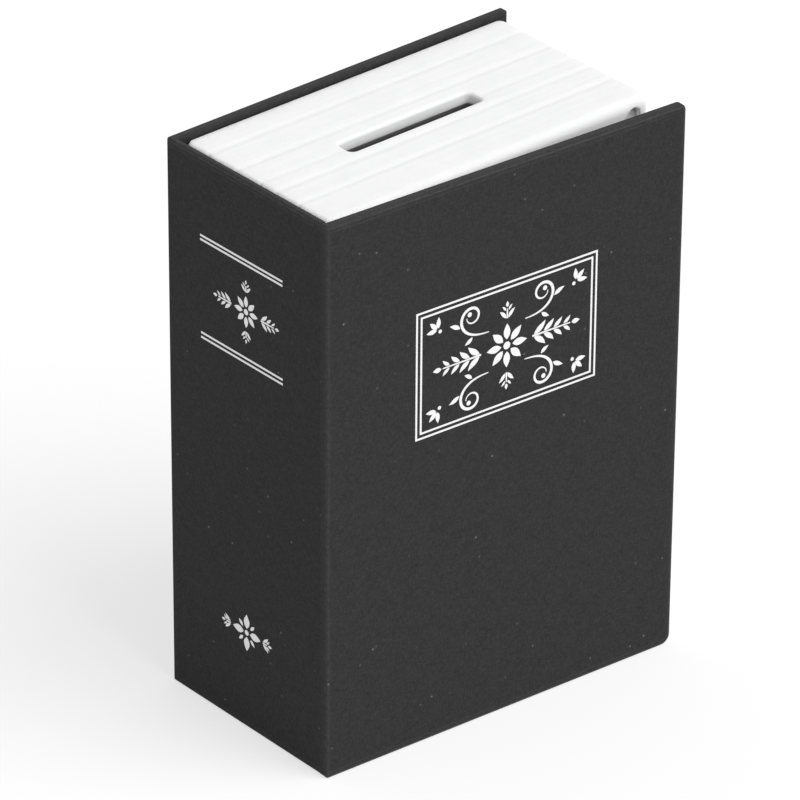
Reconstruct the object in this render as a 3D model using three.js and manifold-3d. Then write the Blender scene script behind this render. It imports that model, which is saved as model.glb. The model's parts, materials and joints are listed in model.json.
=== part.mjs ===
// Book diversion safe: a hard cover, a white moulded page block with a coin slot, and a steel
// strongbox inside it with a hinged lid and a cam lock. Lengths are in millimetres, +Z is up.
// X runs from the spine to the fore-edge, Y from the front cover to the back cover.

import * as THREE from 'three';
import { mergeVertices } from 'three/addons/utils/BufferGeometryUtils.js';
import Module from 'manifold-3d';

const wasm = await Module();
wasm.setup();

// Driving dimensions of the closed book
const bookWidth = 80;
const bookThickness = 44.5;
const bookHeight = 114.5;

// Case: boards, the paper drawn over them and the sheets inside
const paper = 0.22;
const glueLine = 0.05;
const coverBoardThickness = 1.3;
const spineBoardThickness = 0.75;
const turnInWidth = 12;
const endpaperMargin = 2.6;
const frontCornerRadius = 1.8;
const backCornerRadius = 0.5;
const paperJointGap = 0.3;

// Page block: one hollow white moulding that imitates six stacked signatures
const headSquare = 1;
const foreEdgeSquare = 1.6;
const spineGap = 1.3;
const coverGap = 0.09;
const blockWall = 1.5;
const blockHeadWall = 2.1;
const rimWidth = 4;
const rimThickness = 1.5;
const rimCornerRadius = 2;
const blockCornerRadius = 1.4;
const frontEdgeRadius = 1.2;
const backEdgeRadius = 0.4;
const signatureCornerRadius = 1.6;
const grooveDepth = 0.3;
const grooveHalfWidth = 0.7;
const signatureWidthShares = [0.228, 0.149, 0.1105, 0.1615, 0.1945, 0.1565];
const signatureInsetShares = [0, 0.5, 0.15, 0.6, 0.25, 0];
const notchWidth = 3.3;
const notchDepth = 3;
const notchSideWall = 1.7;
const notchTopWall = 1.6;
const nickDepth = 0.6;
const nickHalfWidth = 0.5;

// Coin slot through the page block and the strongbox
const slotLength = 31.5;
const slotWidth = 4.2;
const slotCornerRadius = 1.2;
const slotShiftToSpine = 1.5;

// Strongbox: folded sheet steel, open at the front, with return lips on three sides of its mouth
const boxSheet = 0.8;
const boxFit = 0.3;
const lipWidth = 7;
const boxCornerRadius = 1;

// Lid: a steel plate with a raised panel, hinged at the spine side
const lidSheet = 0.9;
const lidFit = 0.4;
const lidSeatGap = 0.3;
const lidCornerRadius = 1;
const panelBorder = 5;
const panelHingeBorder = 8.5;
const panelRise = 0.6;
const panelSlope = 0.8;

// Lid hinge: two leaves rolled round one pin
const hingeLength = 70;
const hingeKnuckles = 5;
const hingeSheet = 0.6;
const hingePinRadius = 0.75;
const hingePinFit = 0.12;
const knuckleGap = 0.3;
const knuckleSideGap = 0.33;
const knuckleDrop = 0.1;
const leafLength = 7;
const wallLeafDepth = 11;
const pinOverhang = 0.5;
const pinRounding = 0.25;

// Cam lock
const lockBarrelRadius = 6;
const lockFlatDepth = 0.8;
const lockHeadHeight = 3.85;
const lockHeadOverhang = 2.5;
const lockFaceRadius = 5.5;
const lockHeadRimHeight = 2.2;
const lockBarrelLength = 6.4;
const lockHoleFit = 0.2;
const plugRadius = 3;
const plugFit = 0.15;
const plugFlangeRadius = 4;
const plugFlangeThickness = 1;
const plugTailSide = 3.6;
const keywayWidth = 1.1;
const keywayHeight = 4.6;
const keywayDepth = 6;
const nutWall = 1.5;
const nutSideGap = 1.5;
const nutThickness = 2.5;
const camThickness = 1.5;
const camHubRadius = 4.6;
const camArmWidth = 6;
const camSideGap = 0.15;
const camLipGap = 0.4;
const camNutGap = 0.6;
const camReachPastLip = 4.4;
const stopLugWidth = 1.5;
const stopLugInnerRadius = 3.6;
const stopLugOuterRadius = 5;
const stopLugDepth = 1;
const stopGap = 0.3;
const lockTravel = Math.PI / 2;
const washerRadius = 3.3;
const washerThickness = 0.6;
const screwHeadRadius = 2.8;
const screwHeadHeight = 1.8;
const screwHeadTopShare = 0.7;
const screwShankRadius = 1.2;
const screwShankLength = 4.6;
const screwHoleFit = 0.15;
const screwSlotWidth = 0.8;
const screwSlotDepth = 0.8;

// Running clearance between the ajar cover and the lock face that holds it open
const coverRestGap = 0.3;

// One overrun for every cut that passes a face, and the number of sides of round pieces
const overrun = 1;
const weldDistance = 0.0001;
const roundSides = 32;
const smallRoundSides = 24;
const cornerSteps = 4;

// Cover stack and hinge line
const coverStack = paper + glueLine + coverBoardThickness + glueLine + paper;
const spineStack = paper + glueLine + spineBoardThickness + glueLine + paper;
const endpaperRise = glueLine + paper;
const coverHinge = { x: 0, y: coverStack };

// Page block, outside and inside
const block = {
  left: spineStack + spineGap,
  right: bookWidth - foreEdgeSquare,
  front: coverStack + endpaperRise + coverGap,
  back: bookThickness - coverStack - endpaperRise - glueLine,
  bottom: headSquare,
  top: bookHeight - headSquare,
};
const rim = inset(block, rimWidth);
rim.back = block.front + rimThickness;

// Strongbox
const box = inset(block, blockWall + boxFit);
box.top = block.top - blockHeadWall - boxFit;
box.front = rim.back + boxFit;
box.back = block.back;
const hollow = inset(box, boxSheet);
hollow.front = box.front + boxSheet;
hollow.back = box.back - boxSheet;
const mouth = inset(hollow, lipWidth - boxSheet);
const slotCentre = {
  x: bookWidth / 2 - slotShiftToSpine,
  y: (block.front + block.back) / 2,
};

// Lid and its hinge
const knuckleRadius = hingePinRadius + hingePinFit + hingeSheet;
const lidBack = box.front - lidSeatGap;
const lidFront = lidBack - lidSheet;
const panelFront = lidFront - panelRise;
const lidHinge = {
  x: rim.left + knuckleSideGap + knuckleRadius,
  y: lidBack + knuckleDrop,
};
const lid = {
  left: lidHinge.x + knuckleRadius + knuckleSideGap,
  right: rim.right - lidFit,
  bottom: rim.bottom + lidFit,
  top: rim.top - lidFit,
};
const middleHeight = bookHeight / 2;
const hingeBottom = middleHeight - hingeLength / 2;
const knucklePitch = hingeLength / hingeKnuckles;

// Lock, on an axis along Y through the lid's raised panel, as far to the free edge as its nut allows
const lockHeadRadius = lockBarrelRadius + lockHeadOverhang;
const lockBarrelFlat = lockBarrelRadius - lockFlatDepth;
const nutCornerRadius = (lockBarrelRadius + nutWall) / Math.cos(Math.PI / 6);
const lock = {
  x: lid.right - panelBorder - panelSlope - nutSideGap - nutCornerRadius,
  z: middleHeight,
};
const lockFace = panelFront - glueLine - lockHeadHeight;
const barrelEnd = panelFront + lockBarrelLength;
const nutFront = panelFront + lidSheet + glueLine;
const nutBack = nutFront + nutThickness;
const camFront = barrelEnd + camSideGap;
const camBack = camFront + camThickness;
const camTipFront = hollow.front + camLipGap;
const camReach = mouth.right + camReachPastLip - lock.x;

// The ajar cover rests on the rim of the lock face: this is the angle at which it does
const ajarAngle = coverAngleOnLock();

const colours = {
  coverPaper: 0x343434,
  greyboard: 0x8d8778,
  endpaper: 0x303030,
  pages: 0xf4f4f6,
  paintedSteel: 0x2b2c2e,
  zincSteel: 0xb4b7ba,
  lockChrome: 0xc8cacc,
};

function inset(rectangle, distance) {
  return {
    left: rectangle.left + distance,
    right: rectangle.right - distance,
    bottom: rectangle.bottom + distance,
    top: rectangle.top - distance,
  };
}

function coverAngleOnLock() {
  const along = lock.x - lockFaceRadius - coverHinge.x;
  const across = lockFace - coverHinge.y;
  const reach = Math.hypot(along, across);
  return Math.asin((endpaperRise + coverRestGap) / reach) - Math.atan2(across, along);
}

// Solids: three.js makes each closed shape, manifold joins and cuts them
function solid(geometry) {
  const plain = geometry.clone();
  for (const name of Object.keys(plain.attributes)) {
    if (name !== 'position') plain.deleteAttribute(name);
  }
  const welded = mergeVertices(plain, weldDistance);
  const vertProperties = Float32Array.from(welded.attributes.position.array);
  const triVerts = Uint32Array.from(welded.index.array);
  return new wasm.Manifold(new wasm.Mesh({ numProp: 3, vertProperties, triVerts }));
}

function joined(parts) {
  return parts.reduce((sum, part) => sum.add(part));
}

function geometryOf(manifold) {
  const mesh = manifold.getMesh();
  const geometry = new THREE.BufferGeometry();
  geometry.setAttribute('position', new THREE.BufferAttribute(mesh.vertProperties, 3));
  geometry.setIndex(new THREE.BufferAttribute(mesh.triVerts, 1));
  geometry.computeVertexNormals();
  return geometry;
}

function piece(name, manifold, colour, roughness, metalness) {
  const material = new THREE.MeshStandardMaterial({ color: colour, roughness, metalness });
  const mesh = new THREE.Mesh(geometryOf(manifold), material);
  mesh.name = name;
  return mesh;
}

function block3(left, right, front, back, bottom, top) {
  const geometry = new THREE.BoxGeometry(right - left, back - front, top - bottom);
  geometry.translate((left + right) / 2, (front + back) / 2, (bottom + top) / 2);
  return solid(geometry);
}

function cylinderAlongY(x, z, radius, front, back, sides = roundSides) {
  const geometry = new THREE.CylinderGeometry(radius, radius, back - front, sides);
  geometry.translate(x, (front + back) / 2, z);
  return solid(geometry);
}

function cylinderAlongZ(x, y, radius, bottom, top) {
  const geometry = new THREE.CylinderGeometry(radius, radius, top - bottom, smallRoundSides);
  geometry.rotateX(Math.PI / 2);
  geometry.translate(x, y, (bottom + top) / 2);
  return solid(geometry);
}

// Rectangle with a radius for each corner, in the order bottom left, bottom right, top right, top left
function roundedRectangle(left, right, bottom, top, radii) {
  const [bottomLeft, bottomRight, topRight, topLeft] = radii;
  const shape = new THREE.Shape();
  const corner = (x, y, radius, start) => {
    if (radius > 0) shape.absarc(x, y, radius, start, start + Math.PI / 2);
    else shape.lineTo(x, y);
  };
  shape.moveTo(left + bottomLeft, bottom);
  corner(right - bottomRight, bottom + bottomRight, bottomRight, -Math.PI / 2);
  corner(right - topRight, top - topRight, topRight, 0);
  corner(left + topLeft, top - topLeft, topLeft, Math.PI / 2);
  corner(left + bottomLeft, bottom + bottomLeft, bottomLeft, Math.PI);
  return shape;
}

function evenRectangle(left, right, bottom, top, radius) {
  return roundedRectangle(left, right, bottom, top, [radius, radius, radius, radius]);
}

function plainExtrusion(shape, depth) {
  return new THREE.ExtrudeGeometry(shape, { depth, bevelEnabled: false, curveSegments: cornerSteps });
}

// A shape drawn in X and Z, pushed along Y
function prismAlongY(shape, front, back) {
  const geometry = plainExtrusion(shape, back - front);
  geometry.rotateX(Math.PI / 2);
  geometry.translate(0, back, 0);
  return solid(geometry);
}

// A shape drawn in X and Y, pushed along Z
function prismAlongZ(shape, bottom, top) {
  const geometry = plainExtrusion(shape, top - bottom);
  geometry.translate(0, 0, bottom);
  return solid(geometry);
}

// A shape drawn in Y and Z, pushed along X
function prismAlongX(shape, left, right) {
  const geometry = plainExtrusion(shape, right - left);
  geometry.applyMatrix4(new THREE.Matrix4().makeBasis(
    new THREE.Vector3(0, 1, 0), new THREE.Vector3(0, 0, 1), new THREE.Vector3(1, 0, 0)));
  geometry.translate(left, 0, 0);
  return solid(geometry);
}

// Case panel: its outline and its two faces along Y, seen from outside to inside
function panelSpan(panel, outerDistance, innerDistance) {
  const inward = Math.sign(panel.inner - panel.outer);
  const a = panel.outer + inward * outerDistance;
  const b = panel.inner - inward * innerDistance;
  return [Math.min(a, b), Math.max(a, b)];
}

function panelOutline(panel, distance) {
  const radius = Math.max(panel.cornerRadius - distance, 0);
  const left = panel.openLeft ? panel.left : panel.left + distance;
  return roundedRectangle(left, panel.right - distance, panel.bottom + distance,
    panel.top - distance, [0, radius, radius, 0]);
}

// Paper over a board: the outer sheet, the wrapped edges and the turn-ins as one folded shell
function coverPaper(panel) {
  const envelope = prismAlongY(panelOutline(panel, 0), ...panelSpan(panel, 0, 0));
  const room = prismAlongY(panelOutline(panel, paper), ...panelSpan(panel, paper, paper));
  const leftEnd = panel.openLeft ? panel.left - overrun : panel.left + paper;
  const leftRoom = block3(leftEnd, panel.left + turnInWidth, ...panelSpan(panel, paper, paper),
    panel.bottom + paper, panel.top - paper);
  const windowLeft = panel.openLeft ? panel.left - overrun : panel.left + turnInWidth;
  const window = block3(windowLeft, panel.right - turnInWidth, ...panelSpan(panel, paper, -overrun),
    panel.bottom + turnInWidth, panel.top - turnInWidth);
  return envelope.subtract(room).subtract(leftRoom).subtract(window);
}

function coverBoard(panel) {
  const skin = paper + glueLine;
  return prismAlongY(panelOutline(panel, skin), ...panelSpan(panel, skin, skin));
}

// Endpaper: lies on the turn-ins round its edge and on the board inside them
function endpaper(panel) {
  const [left, right] = [panel.left + endpaperMargin, panel.right - endpaperMargin];
  const [bottom, top] = [panel.bottom + endpaperMargin, panel.top - endpaperMargin];
  const sink = turnInWidth + glueLine;
  const sinkLeft = panel.openLeft ? left : panel.left + sink;
  const pocketLeft = panel.openLeft ? left - overrun : sinkLeft + paper;
  const raised = -glueLine - paper;
  const sheet = block3(left, right, ...orderedSpan(panel, -glueLine, raised), bottom, top);
  const sunk = block3(sinkLeft, panel.right - sink, ...orderedSpan(panel, paper, raised),
    panel.bottom + sink, panel.top - sink);
  const pocket = block3(pocketLeft, panel.right - sink - paper, ...orderedSpan(panel, 0, raised - overrun),
    panel.bottom + sink + paper, panel.top - sink - paper);
  return sheet.add(sunk).subtract(pocket);
}

// Two distances from the panel's inner face, counted towards its outer face, as a low and a high Y
function orderedSpan(panel, first, second) {
  const outward = Math.sign(panel.outer - panel.inner);
  const a = panel.inner + outward * first;
  const b = panel.inner + outward * second;
  return [Math.min(a, b), Math.max(a, b)];
}

function makeFrontCover() {
  const panel = {
    left: paper + paperJointGap,
    right: bookWidth,
    bottom: 0,
    top: bookHeight,
    outer: -coverStack,
    inner: 0,
    openLeft: true,
    cornerRadius: frontCornerRadius,
  };
  const cover = new THREE.Group();
  cover.add(piece('cover_paper_front', coverPaper(panel), colours.coverPaper, 0.85, 0));
  cover.add(piece('front_board', coverBoard(panel), colours.greyboard, 0.9, 0));
  cover.add(piece('front_endpaper', endpaper(panel), colours.endpaper, 0.9, 0));
  cover.position.set(coverHinge.x, coverHinge.y, 0);
  cover.rotation.z = -ajarAngle;
  return cover;
}

// The strip of the cover paper that flexes between the spine and the front cover
function makeHingePaper() {
  const reach = coverStack * Math.cos(ajarAngle);
  const spineEnd = coverHinge.y + paperJointGap - glueLine;
  const strip = block3(0, paper, coverHinge.y - reach, spineEnd, 0, bookHeight);
  return piece('hinge_paper', strip, colours.coverPaper, 0.85, 0);
}

function makeSpine() {
  const front = coverHinge.y + paperJointGap;
  const back = bookThickness - coverStack - glueLine;
  const envelope = block3(0, spineStack, front, back, 0, bookHeight);
  const room = block3(paper, spineStack - paper, front - overrun, back + overrun, paper, bookHeight - paper);
  const window = block3(paper, spineStack + overrun, front - overrun, back + overrun,
    turnInWidth, bookHeight - turnInWidth);
  const skin = paper + glueLine;
  const board = block3(skin, spineStack - skin, front, back, skin, bookHeight - skin);
  return [
    piece('cover_paper_spine', envelope.subtract(room).subtract(window), colours.coverPaper, 0.85, 0),
    piece('spine_board', board, colours.greyboard, 0.9, 0),
  ];
}

function makeBackCover() {
  const panel = {
    left: 0,
    right: bookWidth,
    bottom: 0,
    top: bookHeight,
    outer: bookThickness,
    inner: bookThickness - coverStack,
    openLeft: false,
    cornerRadius: backCornerRadius,
  };
  return [
    piece('cover_paper_back', coverPaper(panel), colours.coverPaper, 0.85, 0),
    piece('back_board', coverBoard(panel), colours.greyboard, 0.9, 0),
    piece('back_endpaper', endpaper({ ...panel, left: spineStack }), colours.endpaper, 0.9, 0),
  ];
}

// The coin slot, with its long side along X
function coinSlotCut(bottom, top) {
  const shape = evenRectangle(slotCentre.x - slotLength / 2, slotCentre.x + slotLength / 2,
    slotCentre.y - slotWidth / 2, slotCentre.y + slotWidth / 2, slotCornerRadius);
  return prismAlongZ(shape, bottom, top);
}

// One signature: a slab with rounded long edges, so that a V-shaped groove parts it from the next
function signature(front, back, insetDistance) {
  const outline = evenRectangle(block.left + insetDistance, block.right - insetDistance,
    block.bottom + insetDistance, block.top - insetDistance, signatureCornerRadius);
  const geometry = new THREE.ExtrudeGeometry(outline, {
    depth: back - front - 2 * grooveHalfWidth,
    bevelEnabled: true,
    bevelThickness: grooveHalfWidth,
    bevelSize: grooveDepth - insetDistance,
    bevelOffset: insetDistance - grooveDepth,
    bevelSegments: 2,
    curveSegments: cornerSteps,
  });
  geometry.rotateX(Math.PI / 2);
  geometry.translate(0, back - grooveHalfWidth, 0);
  return solid(geometry);
}

function stackedSignatures() {
  const thickness = block.back - block.front;
  const slabs = [];
  let front = block.front;
  signatureWidthShares.forEach((share, index) => {
    const back = front + share * thickness;
    slabs.push(signature(front, back, signatureInsetShares[index] * grooveDepth));
    front = back;
  });
  return joined(slabs);
}

// V-shaped nicks down the spine side, where one signature meets the next
function spineNicks() {
  const thickness = block.back - block.front;
  const spread = nickHalfWidth * (nickDepth + overrun) / nickDepth;
  const nicks = [];
  let seam = block.front;
  for (const share of signatureWidthShares.slice(0, -1)) {
    seam += share * thickness;
    const shape = new THREE.Shape();
    shape.moveTo(block.left - overrun, seam - spread);
    shape.lineTo(block.left + nickDepth, seam);
    shape.lineTo(block.left - overrun, seam + spread);
    nicks.push(prismAlongZ(shape, block.bottom - overrun, block.top + overrun));
  }
  return joined(nicks);
}

// The U-shaped notch in the rim, near the head of the fore-edge side
function rimNotch() {
  const radius = notchWidth / 2;
  const right = block.right - notchSideWall;
  const centre = right - radius;
  const arcHeight = block.top - notchTopWall - radius;
  const shape = new THREE.Shape();
  shape.moveTo(right - notchWidth, rim.top - overrun);
  shape.lineTo(right, rim.top - overrun);
  shape.lineTo(right, arcHeight);
  shape.absarc(centre, arcHeight, radius, 0, Math.PI);
  return prismAlongY(shape, block.front - overrun, block.front + notchDepth);
}

function makePageBlock() {
  const upright = prismAlongZ(evenRectangle(block.left, block.right, block.front, block.back,
    blockCornerRadius), block.bottom - overrun, block.top + overrun);
  const section = prismAlongX(roundedRectangle(block.front, block.back, block.bottom, block.top,
    [frontEdgeRadius, backEdgeRadius, backEdgeRadius, frontEdgeRadius]),
  block.left - overrun, block.right + overrun);
  const rimOpening = prismAlongY(evenRectangle(rim.left, rim.right, rim.bottom, rim.top,
    rimCornerRadius), block.front - overrun, rim.back + overrun);
  const room = inset(block, blockWall);
  room.top = block.top - blockHeadWall;
  const boxRoom = block3(room.left, room.right, rim.back, block.back + overrun, room.bottom, room.top);
  const shell = stackedSignatures().intersect(upright).intersect(section)
    .subtract(spineNicks()).subtract(rimOpening).subtract(boxRoom).subtract(rimNotch())
    .subtract(coinSlotCut(room.top - overrun, block.top + overrun));
  return piece('page_block', shell, colours.pages, 0.5, 0);
}

// Strongbox: five folded walls and a return lip at the head, tail and fore-edge of the mouth
function makeSteelBox() {
  const outside = prismAlongY(evenRectangle(box.left, box.right, box.bottom, box.top,
    boxCornerRadius), box.front, box.back);
  const inside = block3(hollow.left, hollow.right, hollow.front, hollow.back, hollow.bottom, hollow.top);
  const mouthCut = block3(hollow.left, mouth.right, box.front - overrun, hollow.front + overrun,
    mouth.bottom, mouth.top);
  const knuckleRoom = lidHinge.y + knuckleRadius + knuckleGap;
  const wallCut = block3(box.left - overrun, mouth.left, box.front - overrun, knuckleRoom,
    hingeBottom - knuckleGap, hingeBottom + hingeLength + knuckleGap);
  const shell = outside.subtract(inside).subtract(mouthCut).subtract(wallCut)
    .subtract(coinSlotCut(hollow.top - overrun, box.top + overrun));
  return piece('steel_box', shell, colours.paintedSteel, 0.55, 0.3);
}

function raisedPanel(front, back, grow) {
  const low = inset(lid, panelBorder);
  low.left = lid.left + panelHingeBorder;
  const high = inset(low, panelSlope);
  const corners = (face, y, distance) => [
    [face.left - distance, y, face.bottom - distance],
    [face.right + distance, y, face.bottom - distance],
    [face.right + distance, y, face.top + distance],
    [face.left - distance, y, face.top + distance],
  ];
  const geometry = new THREE.BufferGeometry();
  const points = [...corners(high, front, grow), ...corners(low, back, grow)].flat();
  geometry.setAttribute('position', new THREE.Float32BufferAttribute(points, 3));
  geometry.setIndex([
    0, 1, 2, 0, 2, 3,
    4, 6, 5, 4, 7, 6,
    0, 4, 5, 0, 5, 1,
    1, 5, 6, 1, 6, 2,
    2, 6, 7, 2, 7, 3,
    3, 7, 4, 3, 4, 0,
  ]);
  return solid(geometry);
}

// The barrel's outline: a circle with two flats, which stop the lock from turning in the lid
function barrelShape(fit) {
  const radius = lockBarrelRadius + fit;
  const flat = lockBarrelFlat + fit;
  const angle = Math.acos(flat / radius);
  const shape = new THREE.Shape();
  shape.absarc(lock.x, lock.z, radius, angle, Math.PI - angle);
  shape.absarc(lock.x, lock.z, radius, Math.PI + angle, 2 * Math.PI - angle);
  return shape;
}

function barrelPrism(fit, front, back) {
  const geometry = new THREE.ExtrudeGeometry(barrelShape(fit), {
    depth: back - front, bevelEnabled: false, curveSegments: roundSides / 4,
  });
  geometry.rotateX(Math.PI / 2);
  geometry.translate(0, back, 0);
  return solid(geometry);
}

function makeLid() {
  const plate = prismAlongY(evenRectangle(lid.left, lid.right, lid.bottom, lid.top, lidCornerRadius),
    lidFront, lidBack);
  const raised = raisedPanel(panelFront, lidFront + glueLine, 0);
  const pressed = raisedPanel(panelFront + lidSheet, lidBack + glueLine, -lidSheet / 2);
  const hole = barrelPrism(lockHoleFit, panelFront - overrun, lidBack + overrun);
  return piece('lid', plate.add(raised).subtract(pressed).subtract(hole), colours.paintedSteel, 0.55, 0.3);
}

// Knuckles number 0, 2, 4 belong to the box leaf and the ones between to the lid leaf
function knuckleSpans(parity) {
  const spans = [];
  for (let index = parity; index < hingeKnuckles; index += 2) {
    const bottom = hingeBottom + index * knucklePitch + knuckleGap / 2;
    spans.push([bottom, bottom + knucklePitch - knuckleGap]);
  }
  return spans;
}

function pinBore() {
  return cylinderAlongZ(lidHinge.x, lidHinge.y, hingePinRadius + hingePinFit,
    hingeBottom - overrun, hingeBottom + hingeLength + overrun);
}

function makeBoxLeaf() {
  const wallFace = hollow.left + glueLine;
  const tongueBack = lidHinge.y + knuckleRadius;
  const tongueFront = tongueBack - hingeSheet;
  const footRight = lidHinge.x - knuckleRadius - knuckleGap;
  const top = hingeBottom + hingeLength;
  const parts = [
    block3(wallFace, wallFace + hingeSheet, tongueFront, tongueBack + wallLeafDepth, hingeBottom, top),
    block3(wallFace, footRight, tongueFront, tongueBack, hingeBottom, top),
  ];
  for (const [low, high] of knuckleSpans(0)) {
    parts.push(cylinderAlongZ(lidHinge.x, lidHinge.y, knuckleRadius, low, high));
    parts.push(block3(wallFace, lidHinge.x, tongueFront, tongueBack, low, high));
  }
  return piece('hinge_leaf_box', joined(parts).subtract(pinBore()), colours.paintedSteel, 0.5, 0.4);
}

function makeLidLeaf() {
  const front = lidBack + glueLine;
  const right = lid.left + leafLength;
  const top = hingeBottom + hingeLength;
  const parts = [block3(lid.left, right, front, front + hingeSheet, hingeBottom, top)];
  for (const [low, high] of knuckleSpans(1)) {
    parts.push(cylinderAlongZ(lidHinge.x, lidHinge.y, knuckleRadius, low, high));
    parts.push(block3(lidHinge.x, right, front, front + hingeSheet, low, high));
  }
  return piece('hinge_leaf_lid', joined(parts).subtract(pinBore()), colours.paintedSteel, 0.5, 0.4);
}

// A turned piece: the profile's points are radius and distance along the axis
function turned(profile, sides) {
  const points = profile.map(([radius, along]) => new THREE.Vector2(radius, along));
  return new THREE.LatheGeometry(points, sides);
}

function makeHingePin() {
  const bottom = hingeBottom - pinOverhang;
  const top = hingeBottom + hingeLength + pinOverhang;
  const tip = hingePinRadius - pinRounding;
  const geometry = turned([
    [0, bottom], [tip, bottom], [hingePinRadius, bottom + pinRounding],
    [hingePinRadius, top - pinRounding], [tip, top], [0, top],
  ], smallRoundSides);
  geometry.rotateX(Math.PI / 2);
  geometry.translate(lidHinge.x, lidHinge.y, 0);
  return piece('hinge_pin', solid(geometry), colours.zincSteel, 0.35, 1);
}

function turnedOnLockAxis(profile, sides = roundSides) {
  const geometry = turned(profile, sides);
  geometry.translate(lock.x, 0, lock.z);
  return solid(geometry);
}

// A wedge of the barrel's end that the cam's lug sweeps through
function stopTrack() {
  const lugRadius = (stopLugInnerRadius + stopLugOuterRadius) / 2;
  const halfLug = Math.asin((stopLugWidth / 2 + stopGap) / lugRadius);
  const start = Math.PI - halfLug;
  const end = Math.PI + lockTravel + halfLug;
  const reach = 2 * lockBarrelRadius;
  const shape = new THREE.Shape();
  shape.moveTo(lock.x, lock.z);
  shape.lineTo(lock.x + reach * Math.cos(start), lock.z + reach * Math.sin(start));
  shape.absarc(lock.x, lock.z, reach, start, end);
  return prismAlongY(shape, barrelEnd - stopLugDepth - stopGap, barrelEnd + overrun);
}

function makeLockBody() {
  const seat = panelFront - glueLine;
  const rimFront = seat - lockHeadRimHeight;
  const head = turnedOnLockAxis([
    [0, lockFace], [lockFaceRadius, lockFace],
    [(lockFaceRadius + lockHeadRadius) / 2, (2 * lockFace + rimFront) / 3],
    [lockHeadRadius, rimFront], [lockHeadRadius, seat], [0, seat],
  ], 2 * roundSides);
  const barrel = barrelPrism(0, seat - overrun / 2, barrelEnd);
  const bore = cylinderAlongY(lock.x, lock.z, plugRadius + plugFit, lockFace - overrun, barrelEnd + overrun);
  const flangeSeat = cylinderAlongY(lock.x, lock.z, plugFlangeRadius + plugFit, lockFace - overrun,
    lockFace + plugFlangeThickness + plugFit);
  const body = head.add(barrel).subtract(bore).subtract(flangeSeat).subtract(stopTrack());
  return piece('lock_body', body, colours.lockChrome, 0.25, 1);
}

function makeLockPlug() {
  const shaft = turnedOnLockAxis([
    [0, lockFace], [plugFlangeRadius, lockFace],
    [plugFlangeRadius, lockFace + plugFlangeThickness], [plugRadius, lockFace + plugFlangeThickness],
    [plugRadius, barrelEnd], [0, barrelEnd],
  ]);
  const half = plugTailSide / 2;
  const tail = block3(lock.x - half, lock.x + half, barrelEnd - overrun, camBack - camSideGap,
    lock.z - half, lock.z + half);
  const keyway = block3(lock.x - keywayWidth / 2, lock.x + keywayWidth / 2, lockFace - overrun,
    lockFace + keywayDepth, lock.z - keywayHeight / 2, lock.z + keywayHeight / 2);
  const screwHole = cylinderAlongY(lock.x, lock.z, screwShankRadius + screwHoleFit,
    camBack - screwShankLength, camBack + overrun, smallRoundSides);
  return piece('lock_plug', shaft.add(tail).subtract(keyway).subtract(screwHole), colours.lockChrome, 0.3, 1);
}

function makeLockNut() {
  const hexagon = new THREE.CylinderGeometry(nutCornerRadius, nutCornerRadius, nutThickness, 6);
  hexagon.translate(lock.x, (nutFront + nutBack) / 2, lock.z);
  const bore = cylinderAlongY(lock.x, lock.z, lockBarrelRadius + lockHoleFit, nutFront - overrun,
    nutBack + overrun, 2 * roundSides);
  return piece('lock_nut', solid(hexagon).subtract(bore), colours.zincSteel, 0.4, 1);
}

// Cranked cam, pointing up when unlocked: hub, ramp clear of the nut, and the tip behind the lip
function makeLockCam() {
  const rampStart = nutCornerRadius + camNutGap;
  const rampEnd = rampStart + camThickness;
  const tipBack = camTipFront + camThickness;
  const profile = new THREE.Shape();
  profile.moveTo(camFront, lock.z);
  profile.lineTo(camFront, lock.z + rampStart);
  profile.lineTo(camTipFront, lock.z + rampStart);
  profile.lineTo(camTipFront, lock.z + camReach);
  profile.lineTo(tipBack, lock.z + camReach);
  profile.lineTo(tipBack, lock.z + rampEnd);
  profile.lineTo(camBack, lock.z + rampEnd);
  profile.lineTo(camBack, lock.z);
  const half = camArmWidth / 2;
  const arm = prismAlongX(profile, lock.x - half, lock.x + half);
  const hub = cylinderAlongY(lock.x, lock.z, camHubRadius, camFront, camBack);
  const lug = block3(lock.x - stopLugWidth / 2, lock.x + stopLugWidth / 2, barrelEnd - stopLugDepth,
    camBack, lock.z - stopLugOuterRadius, lock.z - stopLugInnerRadius);
  const side = plugTailSide / 2 + camSideGap;
  const squareHole = block3(lock.x - side, lock.x + side, camFront - overrun, camBack + overrun,
    lock.z - side, lock.z + side);
  return piece('lock_cam', joined([arm, hub, lug]).subtract(squareHole), colours.zincSteel, 0.4, 1);
}

function makeCamWasher() {
  const front = camBack + glueLine;
  const back = front + washerThickness;
  const disc = cylinderAlongY(lock.x, lock.z, washerRadius, front, back);
  const hole = cylinderAlongY(lock.x, lock.z, screwShankRadius + screwHoleFit, front - overrun,
    back + overrun, smallRoundSides);
  return piece('cam_washer', disc.subtract(hole), colours.zincSteel, 0.4, 1);
}

function makeCamScrew() {
  const seat = camBack + glueLine + washerThickness + glueLine;
  const headBack = seat + screwHeadHeight;
  const body = turnedOnLockAxis([
    [0, camBack - screwShankLength + glueLine], [screwShankRadius, camBack - screwShankLength + glueLine],
    [screwShankRadius, seat], [screwHeadRadius, seat],
    [screwHeadRadius, headBack - screwHeadHeight / 3],
    [screwHeadRadius * screwHeadTopShare, headBack], [0, headBack],
  ], smallRoundSides);
  const slot = block3(lock.x - screwHeadRadius, lock.x + screwHeadRadius, headBack - screwSlotDepth,
    headBack + overrun, lock.z - screwSlotWidth / 2, lock.z + screwSlotWidth / 2);
  return piece('cam_screw', body.subtract(slot), colours.zincSteel, 0.4, 1);
}

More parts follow.
